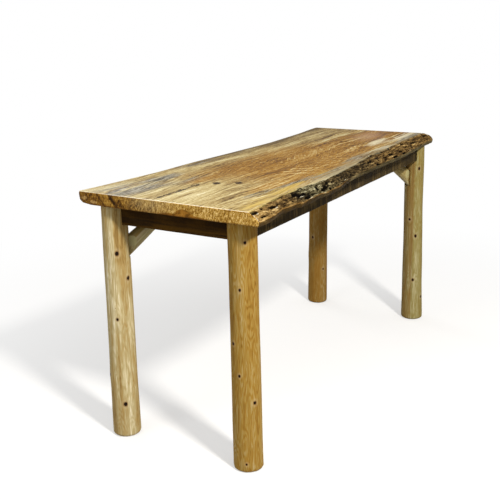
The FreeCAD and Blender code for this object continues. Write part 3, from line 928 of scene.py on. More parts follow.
def sawn_end_finish(name):
    """Sawn end grain: saw marks and pores, growth rings, darker towards the back, with a smoother patch."""
    wood = Finish(name)
    face = LEFT_END[0] + 0.005
    lean = wood.vector("ADD", wood.here, wood.push(wood.times(wood.z, 0.35)))
    marks = wood.noise((1.0, 150.0, 48.0), source=lean, detail=4.0, rough=0.72)
    specks = wood.noise((1.0, 300.0, 260.0), (3.0, 0.0, 5.0), rough=0.7)
    mottle = wood.noise((1.0, 30.0, 46.0), (3.0, 1.0, 2.0), lean, detail=4.0, rough=0.62, warp=0.4)
    broad = wood.noise((4.0, 9.0, 14.0), detail=2.0)
    slant = wood.math("SUBTRACT", wood.y, wood.times(wood.z, 0.785))
    slant = wood.plus(slant, wood.level(mottle, 0.0, 1.0, -0.010, 0.010))
    rings = wood.noise((62.0, 0.0, 0.0), source=wood.push(0.0, 0.0, slant), rough=0.6)
    bars = wood.ramp(wood.level(slant, -0.75, -0.42), (0.470, 0.50), (0.535, 0.22), (0.568, 0.20),
                     (0.588, 0.95), (0.612, 0.64), (0.706, 0.60), (0.735, 0.26), (0.752, 0.62), (0.770, 0.24),
                     (0.795, 0.50))
    harsh = wood.spread(wood.y, 0.26, 0.10, 0.5, 1.0)
    ring_zone = wood.most(wood.spread(wood.y, 0.02, 0.20), wood.spread(wood.y, -0.16, -0.26, 0.0, 0.8))
    tone = wood.plus(
        wood.ramp(wood.level(wood.y, -0.42, 0.42), (0.0, 0.60), (0.47, 0.58), (0.66, 0.42), (0.73, 0.36),
                  (1.0, 0.38)),
        wood.times(wood.level(marks, 0.32, 0.68, -0.34, 0.34), harsh),
        wood.level(mottle, 0.30, 0.70, -0.20, 0.18),
        wood.times(wood.level(specks, 0.34, 0.66, -0.28, 0.28), harsh),
        wood.level(broad, 0.30, 0.70, -0.08, 0.08),
        wood.times(wood.level(rings, 0.3, 0.7, -0.24, 0.20), ring_zone),
        wood.times(wood.level(bars, 0.0, 1.0, -0.36, 0.36), wood.level(marks, 0.36, 0.64, 0.4, 1.1)),
    )
    colour = wood.ramp(tone, (0.05, "#2E1C09"), (0.25, "#644216"), (0.48, "#976E2A"), (0.70, "#BE9645"),
                       (0.95, "#E4C684"))

    def patch(y, z, half_width, half_height):
        return wood.spot(wood.here, (face, y, z), (0.5, half_width, half_height))

    faded = wood.times(patch(0.06, 1.05, 0.16, 0.06), wood.level(marks, 0.36, 0.64, 0.05, 0.60))
    colour = wood.blend(faded, colour, "#C2AE7C")
    lumps = wood.most(patch(0.393, 1.042, 0.024, 0.013), patch(0.345, 1.029, 0.030, 0.010))
    lump_tone = wood.blend(wood.spread(marks, 0.4, 0.6), "#8A6532", "#C9A567")
    colour = wood.blend(wood.spread(lumps, 0.15, 0.55, 0.0, 0.75), colour, lump_tone)
    smooth = wood.most(patch(-0.090, UNDERSIDE, 0.060, 0.046), patch(-0.085, UNDERSIDE, 0.170, 0.017))
    smooth = wood.plus(smooth, wood.level(mottle, 0.3, 0.7, -0.10, 0.10))
    smooth_tone = wood.blend(wood.spread(mottle, 0.40, 0.58), "#65400E", "#95641F")
    colour = wood.blend(wood.spread(smooth, 0.18, 0.28, 0.0, 0.92), colour, smooth_tone)
    # Darker along the lower edge: partly the end's own darker rim, partly painted shade along the lower
    # arris.
    colour = wood.blend(wood.spread(wood.z, UNDERSIDE + 0.010, UNDERSIDE, 0.0, 0.60), colour, "#5C3A14")
    height = wood.plus(marks, wood.times(specks, 0.6))
    return wood.close(colour, wood.level(marks, 0.3, 0.7, 0.55, 0.75), wood.bump(height, 0.0016), 0.06)


class SLABTABLE_OT_slab(bpy.types.Operator):
    """Model the live-edge slab"""
    bl_idname = "slabtable.slab"
    bl_label = "Live-edge slab"

    def execute(self, context):
        look = context.scene.slab_table.slab
        slab = new_block("live_edge_slab", SLAB_LOW, SLAB_HIGH)
        start, end = (ends[:, 0] for ends in edge_ends(slab))
        half = SLAB_HIGH.x - HAIR
        at_end = (np.abs(start) > half) & (np.abs(end) > half) & (np.sign(start) == np.sign(end))
        ease_edges(slab, at_end, look.arris, 2)
        for axis, passes in enumerate(SLAB_ROWS):
            cut_along(slab, axis, *passes)
        sort = self.sort_faces(slab)
        shape_slab(slab, look)
        finish_piece(slab, "slab_top", (
            slab_face_finish("oiled_slab_face", look, True),
            live_edge_finish("front_live_edge", True),
            live_edge_finish("back_live_edge", False),
            sawn_end_finish("sawn_slab_end"),
            slab_face_finish("sawn_slab_underside", look, False),
        ), angle=50.0, sort=sort)
        return {"FINISHED"}

    def sort_faces(self, slab):
        """Material of each face of the plain block: top 0, front 1, back 2, ends 3, underside 4."""
        x, y, z = normals_of(slab).T
        sort = np.zeros(len(x), dtype=np.int32)
        sort[y < -0.9] = 1
        sort[y > 0.9] = 2
        sort[np.abs(x) > 0.9] = 3
        sort[(np.abs(x) > 0.1) & (z < -0.1)] = 3
        sort[z < -0.99] = 4
        return sort


# Legs

# Knots of each log: heading round the log in degrees, height, radius
LEG_KNOTS = {
    "front_left": (
        (-141, 0.939, 0.0051), (-165, 0.757, 0.0051), (157, 0.538, 0.0049), (-177, 0.411, 0.0044),
        (-118, 0.299, 0.0060), (-157, 0.040, 0.0041), (-30, 0.62, 0.0060), (35, 0.33, 0.0049),
        (80, 0.80, 0.0060), (15, 0.12, 0.0049),
    ),
    "back_left": (
        (-140, 0.818, 0.0073), (-97, 0.708, 0.0071), (-153, 0.537, 0.0063), (146, 0.279, 0.0060),
        (-142, 0.157, 0.0076), (-159, 0.586, 0.0027), (40, 0.66, 0.0060), (90, 0.45, 0.0049),
        (0, 0.25, 0.0060), (60, 0.88, 0.0049),
    ),
    "front_right": (
        (-133, 0.889, 0.0068), (176, 0.599, 0.0064), (-147, 0.503, 0.0066), (-157, 0.243, 0.0066),
        (-101, 0.135, 0.0064), (-20, 0.70, 0.0060), (50, 0.40, 0.0049), (20, 0.18, 0.0060),
        (100, 0.83, 0.0049),
    ),
    "back_right": (
        (-150, 0.690, 0.0056), (170, 0.42, 0.0056), (-120, 0.22, 0.0051), (60, 0.75, 0.0060),
        (10, 0.50, 0.0049), (100, 0.30, 0.0060), (-40, 0.86, 0.0049),
    ),
}
# Radius that a log loses from foot to head, and the extra radius of each log at a few heights
LEG_TAPER = 0.0045
LEG_GIRTH = {
    "front_left": ((0.0, 0.0030), (0.20, 0.0024), (0.45, 0.0014), (0.80, 0.0026), (1.015, 0.0032)),
    "front_right": ((0.0, 0.0032), (0.15, 0.0012), (0.45, -0.0018), (0.75, -0.0018), (1.015, -0.0012)),
    "back_left": ((0.0, 0.0030), (0.12, 0.0034), (0.30, 0.0012), (1.015, 0.0004)),
    "back_right": ((0.0, 0.0024), (0.20, 0.0012), (0.60, 0.0), (1.015, 0.0)),
}
# How far each log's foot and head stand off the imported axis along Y
LEG_LEAN = {
    "front_left": (-0.005, 0.0070), "front_right": (-0.0075, 0.0120),
    "back_left": (0.0, 0.0015), "back_right": (0.001, 0.0),
}
# How strongly each log shows upright streaks, wavy knife-cut figure and pale sapwood
LEG_FIGURE = {
    "front_left": (0.60, 1.6, 0.40), "front_right": (0.8, 0.9, 0.7),
    "back_left": (1.4, 0.8, 1.1), "back_right": (0.7, 0.7, 0.5),
}
# Depth of a knot's pit, sway of a log between foot and head, sides of its mesh and rows of cuts up it
KNOT_PIT = 0.0012
LEG_SWAY = 0.0016
LEG_SIDES = 144
LEG_ROWS = (24, 10)
# A distance from a leg's axis that is well outside the log
LEG_CLEAR = 0.12
# Braces: seat from the leg's axis, radius, drop and slope, then the flat end, shaved sides and flare there
BRACE_SEAT = 0.0475
BRACE_RADIUS = 0.030
BRACE_DROP = 0.228
BRACE_ANGLE = math.radians(43.0)
BRACE_UPRIGHT = 2.0 * BRACE_RADIUS / math.cos(BRACE_ANGLE)
BRACE_TIP = UNDERSIDE - BRACE_DROP
BRACE_BUTT = 0.012
BRACE_SHAVE = math.radians(30.0)
BRACE_FLARE = 0.008


def leg_axis(corner):
    """Plan place of a leg's axis."""
    low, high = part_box("leg_" + corner)
    return (low.x + high.x) / 2.0, (low.y + high.y) / 2.0


def leg_foot(corner):
    """Radius of a packed leg at its foot."""
    low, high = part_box("leg_" + corner)
    return (high.x - low.x) / 2.0


def leg_radius(corner, height):
    """Radius of a log at a height, with its taper and its own girth."""
    taper = LEG_TAPER * height / UNDERSIDE
    return leg_foot(corner) - taper + np.interp(height, *np.array(LEG_GIRTH[corner]).T)


def leg_lean(corner, height):
    """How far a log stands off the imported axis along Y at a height."""
    return np.interp(height, (0.0, UNDERSIDE), LEG_LEAN[corner])


def brace_heading(corner):
    """Direction in plan from a leg to the table's middle, at 45 degrees."""
    side_x, side_y = CORNERS[corner]
    return math.atan2(-side_y, -side_x)


def shape_log(log, corner, settings):
    """Taper a log and leave the swells, knife flats and knots of a peeled trunk on it."""
    axis_x, axis_y = leg_axis(corner)
    foot = leg_foot(corner)
    places = points_of(log)
    seed = 21.0 + list(CORNERS).index(corner)
    heading = np.arctan2(places[:, 1] - axis_y, places[:, 0] - axis_x)
    share = np.hypot(places[:, 0] - axis_x, places[:, 1] - axis_y) / foot
    height = places[:, 2]
    ring = np.stack([np.cos(heading), np.sin(heading), height], axis=1)
    radius = leg_radius(corner, height)
    radius += settings.swell * swirl(ring, (0.9, 0.9, 3.2), seed)
    radius += settings.knife * swirl(ring, (4.2, 4.2, 2.4), seed + 0.5)
    for degrees, level, size in LEG_KNOTS[corner]:
        turn = np.angle(np.exp(1j * (heading - math.radians(degrees)))) * foot
        rise = height - level
        radius += settings.knot_swell * np.exp(-((turn / (size * 3.2)) ** 2 + (rise / (size * 6.0)) ** 2))
        radius -= KNOT_PIT * np.exp(-((turn / size) ** 2 + (rise / size) ** 2))
    sway = LEG_SWAY * np.sin(height / UNDERSIDE * math.pi)
    drift_x = sway * math.cos(seed * 2.1)
    drift_y = sway * math.sin(seed * 2.1) + leg_lean(corner, height)
    move_points(log, np.stack([
        axis_x + drift_x + share * radius * np.cos(heading),
        axis_y + drift_y + share * radius * np.sin(heading),
        height,
    ], axis=1))


def log_knots(wood, corner, local):
    """Distance to the nearest knot of a log, in knot radii."""
    reaches = []
    for degrees, level, size in LEG_KNOTS[corner]:
        angle = math.radians(degrees)
        radius = leg_radius(corner, level)
        middle = (radius * math.cos(angle), radius * math.sin(angle) + leg_lean(corner, level), level)
        reaches.append(wood.vector("LENGTH", wood.centre(middle, (size, size, size * 1.25), 0.0, local)))
    return wood.fold("MINIMUM", reaches)


def log_brown_shaded_side(wood, colour, local, slow, streaks):
    """A browner strip up the side of a log that faces back and left, away from the key light: partly the
    log's own browner wood, partly painted shade.
    """
    x, y, _ = wood.split(local)
    heading = math.radians(150.0)
    facing = wood.plus(wood.times(x, math.cos(heading)), wood.times(y, math.sin(heading)))
    radial = wood.vector("LENGTH", wood.vector("MULTIPLY", local, (1.0, 1.0, 0.0)))
    facing = wood.plus(wood.math("DIVIDE", facing, radial), wood.level(slow, 0.3, 0.7, -0.08, 0.08))
    share = wood.times(wood.spread(facing, 0.66, 0.78), wood.level(streaks, 0.32, 0.68, 0.75, 0.15))
    return wood.blend(share, colour, "#7E5A2C")


def log_finish(name, ground, corner):
    """Peeled log: upright streaks, wavy figure where the knife crossed the rings, and pin knots."""
    streaky, figured, pale = LEG_FIGURE[corner]
    wood = Finish(name)
    seed = 3.7 * list(CORNERS).index(corner)
    local = wood.centre((*leg_axis(corner), 0.0))
    drift = wood.noise((10.0, 10.0, 4.0), (0.0, 0.0, seed), local, detail=2.0)
    drift = wood.level(drift, 0.0, 1.0, -0.016, 0.016)
    bent = wood.vector("ADD", local, wood.push(drift, 0.0, drift))
    slow = wood.noise((16.0, 16.0, 1.6), (seed, 0.0, 0.0), bent)
    streaks = wood.noise((70.0, 70.0, 3.2), (seed, 1.0, 0.0), bent, detail=4.0, rough=0.62)
    fine = wood.noise((300.0, 300.0, 13.0), (seed, 2.0, 0.0), bent, rough=0.6)
    rings = wood.noise((20.0, 20.0, 3.0), (0.0, seed, 0.0), local, detail=2.5, rough=0.55)
    figure = wood.spread(wood.wave(wood.times(rings, 105.0)), 0.7, -1.0)
    middle_tone = 0.52 + 0.05 * figured
    tone = wood.plus(
        wood.level(slow, 0.3, 0.7, middle_tone - 0.16 * streaky, middle_tone + 0.16 * streaky),
        wood.level(streaks, 0.32, 0.68, -0.20 * streaky, 0.20 * streaky),
        wood.level(fine, 0.34, 0.66, -0.13, 0.13), wood.times(figure, -0.16 * figured),
        # Darker towards the head, under the slab: painted shade.
        wood.level(wood.z, 0.60, 1.0, 0.0, -0.07),
    )
    colour = wood.ramp(
        tone, (0.06, deepened(ground, 0.55, 0.42, 0.25)), (0.32, deepened(ground, 0.90, 0.77, 0.58)),
        (0.54, tuple(ground)), (0.80, tinted(ground, "#EFE4C0", 0.42 * pale)),
        (1.00, tinted(ground, "#F6EFDA", 0.75 * pale)),
    )
    # The front right log's browner side is partly painted shade.
    if corner == "front_right":
        colour = log_brown_shaded_side(wood, colour, local, slow, streaks)
    knot = wood.plus(log_knots(wood, corner, local), wood.level(streaks, 0.3, 0.7, -0.22, 0.22))
    colour = wood.blend(wood.spread(knot, 3.2, 1.2, 0.0, 0.22), colour, tinted(ground, "#EFE4C0", 0.5))
    rim = wood.times(wood.spread(knot, 1.7, 1.2), wood.spread(knot, 0.7, 1.1), 0.55)
    colour = wood.blend(rim, colour, "#7B4A1C")
    colour = wood.blend(wood.spread(knot, 1.20, 0.80), colour, "#1A0E05")
    height = wood.plus(streaks, wood.times(figure, -0.05 * figured), wood.times(fine, 0.45))
    return wood.close(colour, wood.level(streaks, 0.3, 0.7, 0.60, 0.76), wood.bump(height, 0.0009), 0.08)


class SLABTABLE_OT_legs(bpy.types.Operator):
    """Model the four peeled log legs"""
    bl_idname = "slabtable.legs"
    bl_label = "Peeled log legs"

    def execute(self, context):
        settings = context.scene.slab_table.legs
        for corner in CORNERS:
            base = (*leg_axis(corner), 0.0)
            log = new_round("log_leg_" + corner, leg_foot(corner), base, UNDERSIDE, sides=LEG_SIDES)
            start, end = edge_ends(log)
            ease_edges(log, (start[:, 2] < HAIR) & (end[:, 2] < HAIR), settings.foot_round, 5)
            cut_along(log, 2, *LEG_ROWS)
            shape_log(log, corner, settings)
            carve(log, self.cutters(corner))
            finish = log_finish("peeled_log_" + corner, getattr(settings, corner), corner)
            finish_piece(log, "leg_" + corner, (finish,))
        return {"FINISHED"}

    def cutters(self, corner):
        """Housing of the aprons, seat of the brace and bore of the lag bolt in one leg."""
        axis_x, axis_y = leg_axis(corner)
        side_x, side_y = CORNERS[corner]
        outset = APRON_OUT - abs(axis_x)
        left, right = sorted((axis_x + side_x * outset, axis_x - side_x * LEG_CLEAR))
        front, back = sorted((axis_y + side_y * outset, axis_y - side_y * LEG_CLEAR))
        yield new_block("notch", (left, front, APRON_UNDER), (right, back, UNDERSIDE + OVERCUT))
        seat_top = BRACE_TIP + BRACE_UPRIGHT + 1.5 * BRACE_FLARE
        seat = new_block("seat", (BRACE_SEAT, -BRACE_RADIUS, BRACE_TIP), (LEG_CLEAR, BRACE_RADIUS, seat_top))
        seat.rotation_euler = (0.0, 0.0, brace_heading(corner))
        seat.location = (axis_x, axis_y, 0.0)
        settle(seat)
        yield seat
        lap = outset - APRON_THICK / 2.0
        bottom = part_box("leg_lag_bolts")[0].z - HOLE_GAP
        base = (axis_x + side_x * lap, axis_y + side_y * lap, bottom)
        yield new_round("bore", hole_radius(LAG_DIAMETER), base, APRON_UNDER + OVERCUT - bottom)


# Apron frame

# Axis that each apron runs along, and the rows of cuts along the long and the short ones, up and across
APRON_AXIS = {"apron_front": 0, "apron_back": 0, "apron_left": 1, "apron_right": 1}
APRON_ROWS = ((24, 25), (12, 18))
APRON_ROWS_UP = 14
APRON_ROWS_ACROSS = 4
# Lean of the saw marks off upright, height of the waves on the lower edge, sides of a screw slot's rounds
SAW_LEAN = 0.10
LOWER_WAVE = 0.0008
SLOT_SIDES = 24


def shape_board(board, axis, settings, seed):
    """Leave saw marks and a slight wander on a board."""
    places = points_of(board)
    low, high = places.min(axis=0), places.max(axis=0)
    across = 1 - axis
    middle = (low[across] + high[across]) / 2.0
    side = np.sign(places[:, across] - middle)
    on_face = np.abs(places[:, across] - middle) > 0.45 * (high[across] - low[across])
    lean = places[:, axis] + SAW_LEAN * (places[:, 2] - low[2])
    marks = swirl(strip(lean, side), (150.0, 3.0, 1.0), seed)
    marks += 0.8 * swirl(places, (5.0, 5.0, 9.0), seed + 2.0)
    places[on_face, across] += (side * settings.saw_depth * (marks - 1.0))[on_face]
    bottom = places[:, 2] < low[2] + 0.002
    places[bottom, 2] += LOWER_WAVE * (1.0 + swirl(places[bottom], (7.0, 7.0, 1.0), seed + 5.0, 3))
    move_points(board, places)


def board_finish(name, stain, axis):
    """Dark stained board: upright saw marks on the long aprons, lengthwise streaks on the short ones, whose
    lower edge is painted lighter as light below the slab's shadow.
    """
    wood = Finish(name)
    stretch = (3.0, 60.0, 60.0) if axis == 0 else (60.0, 4.0, 75.0)
    grain = wood.noise(stretch, detail=5.0, rough=0.6, warp=0.3)
    blotch = wood.noise((7.0, 7.0, 14.0))
    fuzz = wood.noise((260.0, 260.0, 260.0), detail=2.0)
    light = tinted(stain, "#8A7348" if axis == 0 else "#6A4A14", 0.45)
    dark = tinted(stain, "#140C03", 0.60)
    colour = wood.blend(wood.spread(grain, 0.35, 0.70), dark, stain)
    colour = wood.blend(wood.spread(blotch, 0.45, 0.75, 0.0, 0.55), colour, light)
    height = wood.times(grain, 0.6)
    if axis == 0:
        lean = wood.plus(wood.x, wood.times(wood.z, SAW_LEAN))
        teeth = wood.noise((78.0, 2.5, 0.0), source=wood.push(wood.z, 0.0, lean), rough=0.55)
        colour = wood.blend(wood.spread(teeth, 0.52, 0.68, 0.0, 0.60), colour, light)
        colour = wood.blend(wood.spread(teeth, 0.47, 0.33, 0.0, 0.75), colour, dark)
        height = wood.plus(height, teeth)
    else:
        # Lighter lower edge on the short aprons: painted light below the slab's shadow, streaked along the
        # grain.
        lower = wood.times(wood.spread(wood.z, APRON_UNDER + 0.050, APRON_UNDER + 0.010),
                           wood.spread(grain, 0.38, 0.62), 0.85)
        colour = wood.blend(lower, colour, light)
    colour = wood.blend(wood.spread(fuzz, 0.60, 0.78, 0.0, 0.25), colour, light)
    height = wood.plus(height, wood.times(fuzz, 0.35))
    return wood.close(colour, wood.level(grain, 0.3, 0.7, 0.66, 0.86), wood.bump(height, 0.0014), 0.06)


def slot_cutter(x, y, diameter, depth):
    """A slot with round ends, cut up from under the frame and long across the slab's grain."""
    start = y - SLOT_TRAVEL / 2.0
    base = (x, start, APRON_UNDER - OVERCUT)
    slot = new_round("slot", hole_radius(diameter), base, depth + OVERCUT, sides=SLOT_SIDES)
    places = points_of(slot)
    places[places[:, 1] > start + HAIR, 1] += SLOT_TRAVEL
    move_points(slot, places)
    return slot


class SLABTABLE_OT_aprons(bpy.types.Operator):
    """Model the four half-lapped sawn aprons"""
    bl_idname = "slabtable.aprons"
    bl_label = "Sawn aprons"

    def execute(self, context):
        settings = context.scene.slab_table.frame
        screws = self.screw_places()
        for index, (node, axis) in enumerate(APRON_AXIS.items()):
            low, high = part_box(node)
            board = new_block("sawn_" + node, low, high)
            ease_edges(board, np.ones(len(board.data.edges), dtype=bool), settings.apron_arris, 2)
            cut_along(board, axis, *APRON_ROWS[axis])
            cut_along(board, 2, APRON_ROWS_UP)
            cut_along(board, 1 - axis, APRON_ROWS_ACROSS)
            shape_board(board, axis, settings, 41.0 + index)
            carve(board, self.cutters(axis, low, high, screws))
            stain = settings.long_apron if axis == 0 else settings.short_apron
            finish = board_finish("stained_" + node, stain, axis)
            finish_piece(board, node, (finish,), angle=40.0)
        return {"FINISHED"}

    def screw_places(self):
        """Plan places of the slab screws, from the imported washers."""
        groups = []
        for vertex in frame["nodes"]["slab_screw_washers"].data.vertices:
            place = np.array(vertex.co)[:2]
            for group in groups:
                if np.hypot(*(group[0] - place)) < 2.0 * SLAB_WASHER:
                    group.append(place)
                    break
            else:
                groups.append([place])
        return [(np.min(group, axis=0) + np.max(group, axis=0)) / 2.0 for group in groups]

    def cutters(self, axis, low, high, screws):
        """Laps, bolt holes and screw slots of one apron."""
        across = 1 - axis
        depth = high.z - low.z
        middle = low.z + depth / 2.0
        for lap_start, bolt in (
            (low[axis] - OVERCUT, low[axis] + APRON_THICK / 2.0),
            (high[axis] - APRON_THICK, high[axis] - APRON_THICK / 2.0),
        ):
            one, two = list(low), list(high)
            one[axis], two[axis] = lap_start, lap_start + APRON_THICK + OVERCUT
            one[across], two[across] = low[across] - OVERCUT, high[across] + OVERCUT
            one[2], two[2] = (middle, high.z + OVERCUT) if axis == 0 else (low.z - OVERCUT, middle)
            yield new_block("lap", one, two)
            hole = [0.0, 0.0, low.z - OVERCUT]
            hole[axis], hole[across] = bolt, (low[across] + high[across]) / 2.0
            yield new_round("bolt_hole", hole_radius(LAG_DIAMETER), hole, depth + 2.0 * OVERCUT)
            if axis == 1:
                seat = (hole[0], hole[1], high.z - LAG_RECESS)
                yield new_round("bolt_recess", hole_radius(LAG_WASHER), seat, LAG_RECESS + OVERCUT)
        for x, y in screws:
            if low.x < x < high.x and low.y < y < high.y:
                yield slot_cutter(x, y, SCREW_DIAMETER, depth + OVERCUT)
                yield slot_cutter(x, y, SLAB_WASHER, SLAB_RECESS)


# Knee braces

# Length of a pole before it is trimmed, and how much of it lies below the point where it meets its leg
POLE_LENGTH = 0.54
POLE_BELOW = 0.12
# Unevenness of a pole, sides of its mesh, rows of cuts along it, and where its flare ends and is widest
POLE_SWELL = 0.0012
POLE_SIDES = 72
POLE_ROWS = 60
FLARE_END = 0.14
FLARE_FULL = 0.02


def brace_finish(name, ground, corner, fresh=None):
    """Peeled pole with its grain along the brace, and pale fresh wood at the upper end of a shaved face,
    partly painted highlight.
    """
    wood = Finish(name)
    level = wood.centre((*leg_axis(corner), UNDERSIDE), turn=math.degrees(brace_heading(corner)))
    local = wood.add("Mapping", level, None, (0.0, BRACE_ANGLE, 0.0)).outputs[0]
    seed = 2.3 * list(CORNERS).index(corner)
    streaks = wood.noise((3.0, 70.0, 70.0), (seed, 0.0, 0.0), local, detail=4.0, rough=0.6)
    bands = wood.noise((2.0, 26.0, 26.0), (seed, 3.0, 0.0), local)
    fine = wood.noise((12.0, 320.0, 320.0), (seed, 5.0, 0.0), local, detail=2.0)
    deep = deepened(ground, *linear("#D8C496")[:3])
    colour = wood.blend(wood.spread(bands, 0.35, 0.70), deep, ground)
    colour = wood.blend(wood.spread(streaks, 0.48, 0.74, 0.0, 0.6), colour, tinted(ground, "#EFE4C2", 0.5))
    colour = wood.blend(wood.spread(streaks, 0.44, 0.28, 0.0, 0.45), colour, "#86682E")
    colour = wood.blend(wood.spread(fine, 0.54, 0.74, 0.0, 0.22), colour, "#7C602C")
    if fresh is not None:
        # Paler towards the upper end of the shaved face: the fresh wood's colour, partly painted highlight
        # where the face catches the light.
        upper_end = wood.spread(wood.z, BRACE_TIP + 0.035, BRACE_TIP + 0.065, 0.10, 0.85)
        colour = wood.blend(upper_end, colour, fresh)
    height = wood.plus(streaks, wood.times(fine, 0.4))
    return wood.close(colour, wood.level(streaks, 0.3, 0.7, 0.46, 0.62), wood.bump(height, 0.0006), 0.1)


class SLABTABLE_OT_braces(bpy.types.Operator):
    """Model the four knee braces"""
    bl_idname = "slabtable.braces"
    bl_label = "Knee braces"

    def execute(self, context):
        settings = context.scene.slab_table.frame
        shave_x, shave_y = -math.sin(BRACE_SHAVE), math.cos(BRACE_SHAVE)
        leg_level = BRACE_TIP + BRACE_UPRIGHT / 2.0
        for index, corner in enumerate(CORNERS):
            brace = self.pole("knee_brace_" + corner, 51.0 + index)
            brace.rotation_euler = (0.0, math.pi / 2.0 - BRACE_ANGLE, 0.0)
            brace.location = (BRACE_SEAT, 0.0, leg_level)
            settle(brace)
            trim(brace, (BRACE_SEAT, 0.0, BRACE_TIP), (-1.0, 0.0, 0.0))
            trim(brace, (0.0, 0.0, UNDERSIDE), (0.0, 0.0, 1.0))
            for side in (-1.0, 1.0):
                trim(brace, (BRACE_SEAT, side * BRACE_BUTT, BRACE_TIP), (shave_x, side * shave_y, 0.0))
            carve(brace, self.cutters(leg_level))
            x, y, _ = normals_of(brace).T
            shaved = np.abs(np.abs(y) - shave_y) + np.abs(x - shave_x) < 0.02
            brace.rotation_euler = (0.0, 0.0, brace_heading(corner))
            brace.location = (*leg_axis(corner), 0.0)
            settle(brace)
            finish_piece(brace, "brace_" + corner, (
                brace_finish("peeled_brace_" + corner, settings.brace, corner),
                brace_finish("shaved_brace_" + corner, settings.brace, corner, settings.shaving),
            ), sort=shaved.astype(np.int32))
        return {"FINISHED"}

    def pole(self, name, seed):
        """A peeled pole along Z, uneven as it grew, that starts below the point where it meets its leg."""
        pole = new_round(name, BRACE_RADIUS, (0.0, 0.0, -POLE_BELOW), POLE_LENGTH, sides=POLE_SIDES)
        cut_along(pole, 2, POLE_ROWS)
        places = points_of(pole)
        outer = np.hypot(places[:, 0], places[:, 1]) > 0.5 * BRACE_RADIUS
        swell = POLE_SWELL * swirl(places[outer], (24.0, 24.0, 7.0), seed)
        places[outer, :2] *= (1.0 + swell / BRACE_RADIUS)[:, None]
        upper = np.clip(-places[:, 0] / BRACE_RADIUS, 0.0, 1.0)
        places[:, 0] -= BRACE_FLARE * upper * ease(places[:, 2], FLARE_END, FLARE_FULL)
        move_points(pole, places)
        return pole

    def cutters(self, leg_level):
        """Holes for the screw into the leg and the screw up into the slab."""
        length = 0.1
        shank, head = hole_radius(SCREW_DIAMETER), hole_radius(BRACE_HEAD)
        level_turn = (0.0, math.pi / 2.0, 0.0)
        top_out = BRACE_SEAT + BRACE_DROP / math.tan(BRACE_ANGLE) - BRACE_RADIUS / math.sin(BRACE_ANGLE)
        yield new_round("shank", shank, (BRACE_SEAT - OVERCUT, 0.0, leg_level), length, level_turn)
        yield new_round("head", head, (BRACE_SEAT + BRACE_GRIP, 0.0, leg_level), length, level_turn)
        yield new_round("shank", shank, (top_out, 0.0, UNDERSIDE + OVERCUT - length), length)
        yield new_round("head", head, (top_out, 0.0, UNDERSIDE - BRACE_GRIP - length), length)


# Fasteners

def steel_finish(name, ground):
    """Zinc-plated steel with faint spangle and dull patches."""
    steel = Finish(name)
    spangle = steel.cells((420.0, 420.0, 420.0))
    haze = steel.noise((90.0, 90.0, 90.0), detail=4.0)
    colour = steel.blend(steel.spread(spangle, 0.1, 0.8, 0.0, 0.35), ground, "#8F9194")
    colour = steel.blend(steel.spread(haze, 0.55, 0.75, 0.0, 0.4), colour, "#9A937F")
    steel.shader.inputs["Metallic"].default_value = 1.0
    return steel.close(colour, steel.level(haze, 0.3, 0.7, 0.28, 0.48), steel.bump(haze, 0.0001))


class SLABTABLE_OT_fasteners(bpy.types.Operator):
    """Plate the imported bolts, screws and washers"""
    bl_idname = "slabtable.fasteners"
    bl_label = "Bolts and screws"

    def execute(self, context):
        plate = steel_finish("zinc_plate", context.scene.slab_table.frame.steel)
        for node in STEEL_NODES:
            piece = frame["nodes"][node]
            if not piece.material_slots:
                piece.data.materials.append(plate)
            for place in piece.material_slots:
                place.material = plate
        return {"FINISHED"}


# Stage

LAMP_TARGET = Vector((0.0, 0.0, 0.8))
FLOOR_RADIUS = 30.0
# Distances from the table's middle between which the floor turns to white
FLOOR_FADE = (0.9, 3.2)
SENSOR_WIDTH = 36.0


def soft_lamp(name, place, width, power, tint):
    """A round area lamp that faces the middle of the table."""
    clear_selection()
    bpy.ops.object.light_add(type="AREA", location=place)
    lamp = bpy.context.object
    lamp.name = name
    lamp.data.shape = "DISK"
    lamp.data.size = width
    lamp.data.energy = power
    lamp.data.color = tint
    lamp.rotation_euler = (LAMP_TARGET - lamp.location).to_track_quat("-Z", "Y").to_euler()


def seen_directly(nodes, mirrored=None):
    """1 for what the camera sees, also in a mirror, as far as mirrored allows, or through glass."""
    path = nodes.add("LightPath").outputs
    glossy = path["Is Glossy Ray"]
    if mirrored is not None:
        glossy = nodes.times(glossy, mirrored)
    return nodes.most(path["Is Camera Ray"], glossy, path["Is Transmission Ray"])


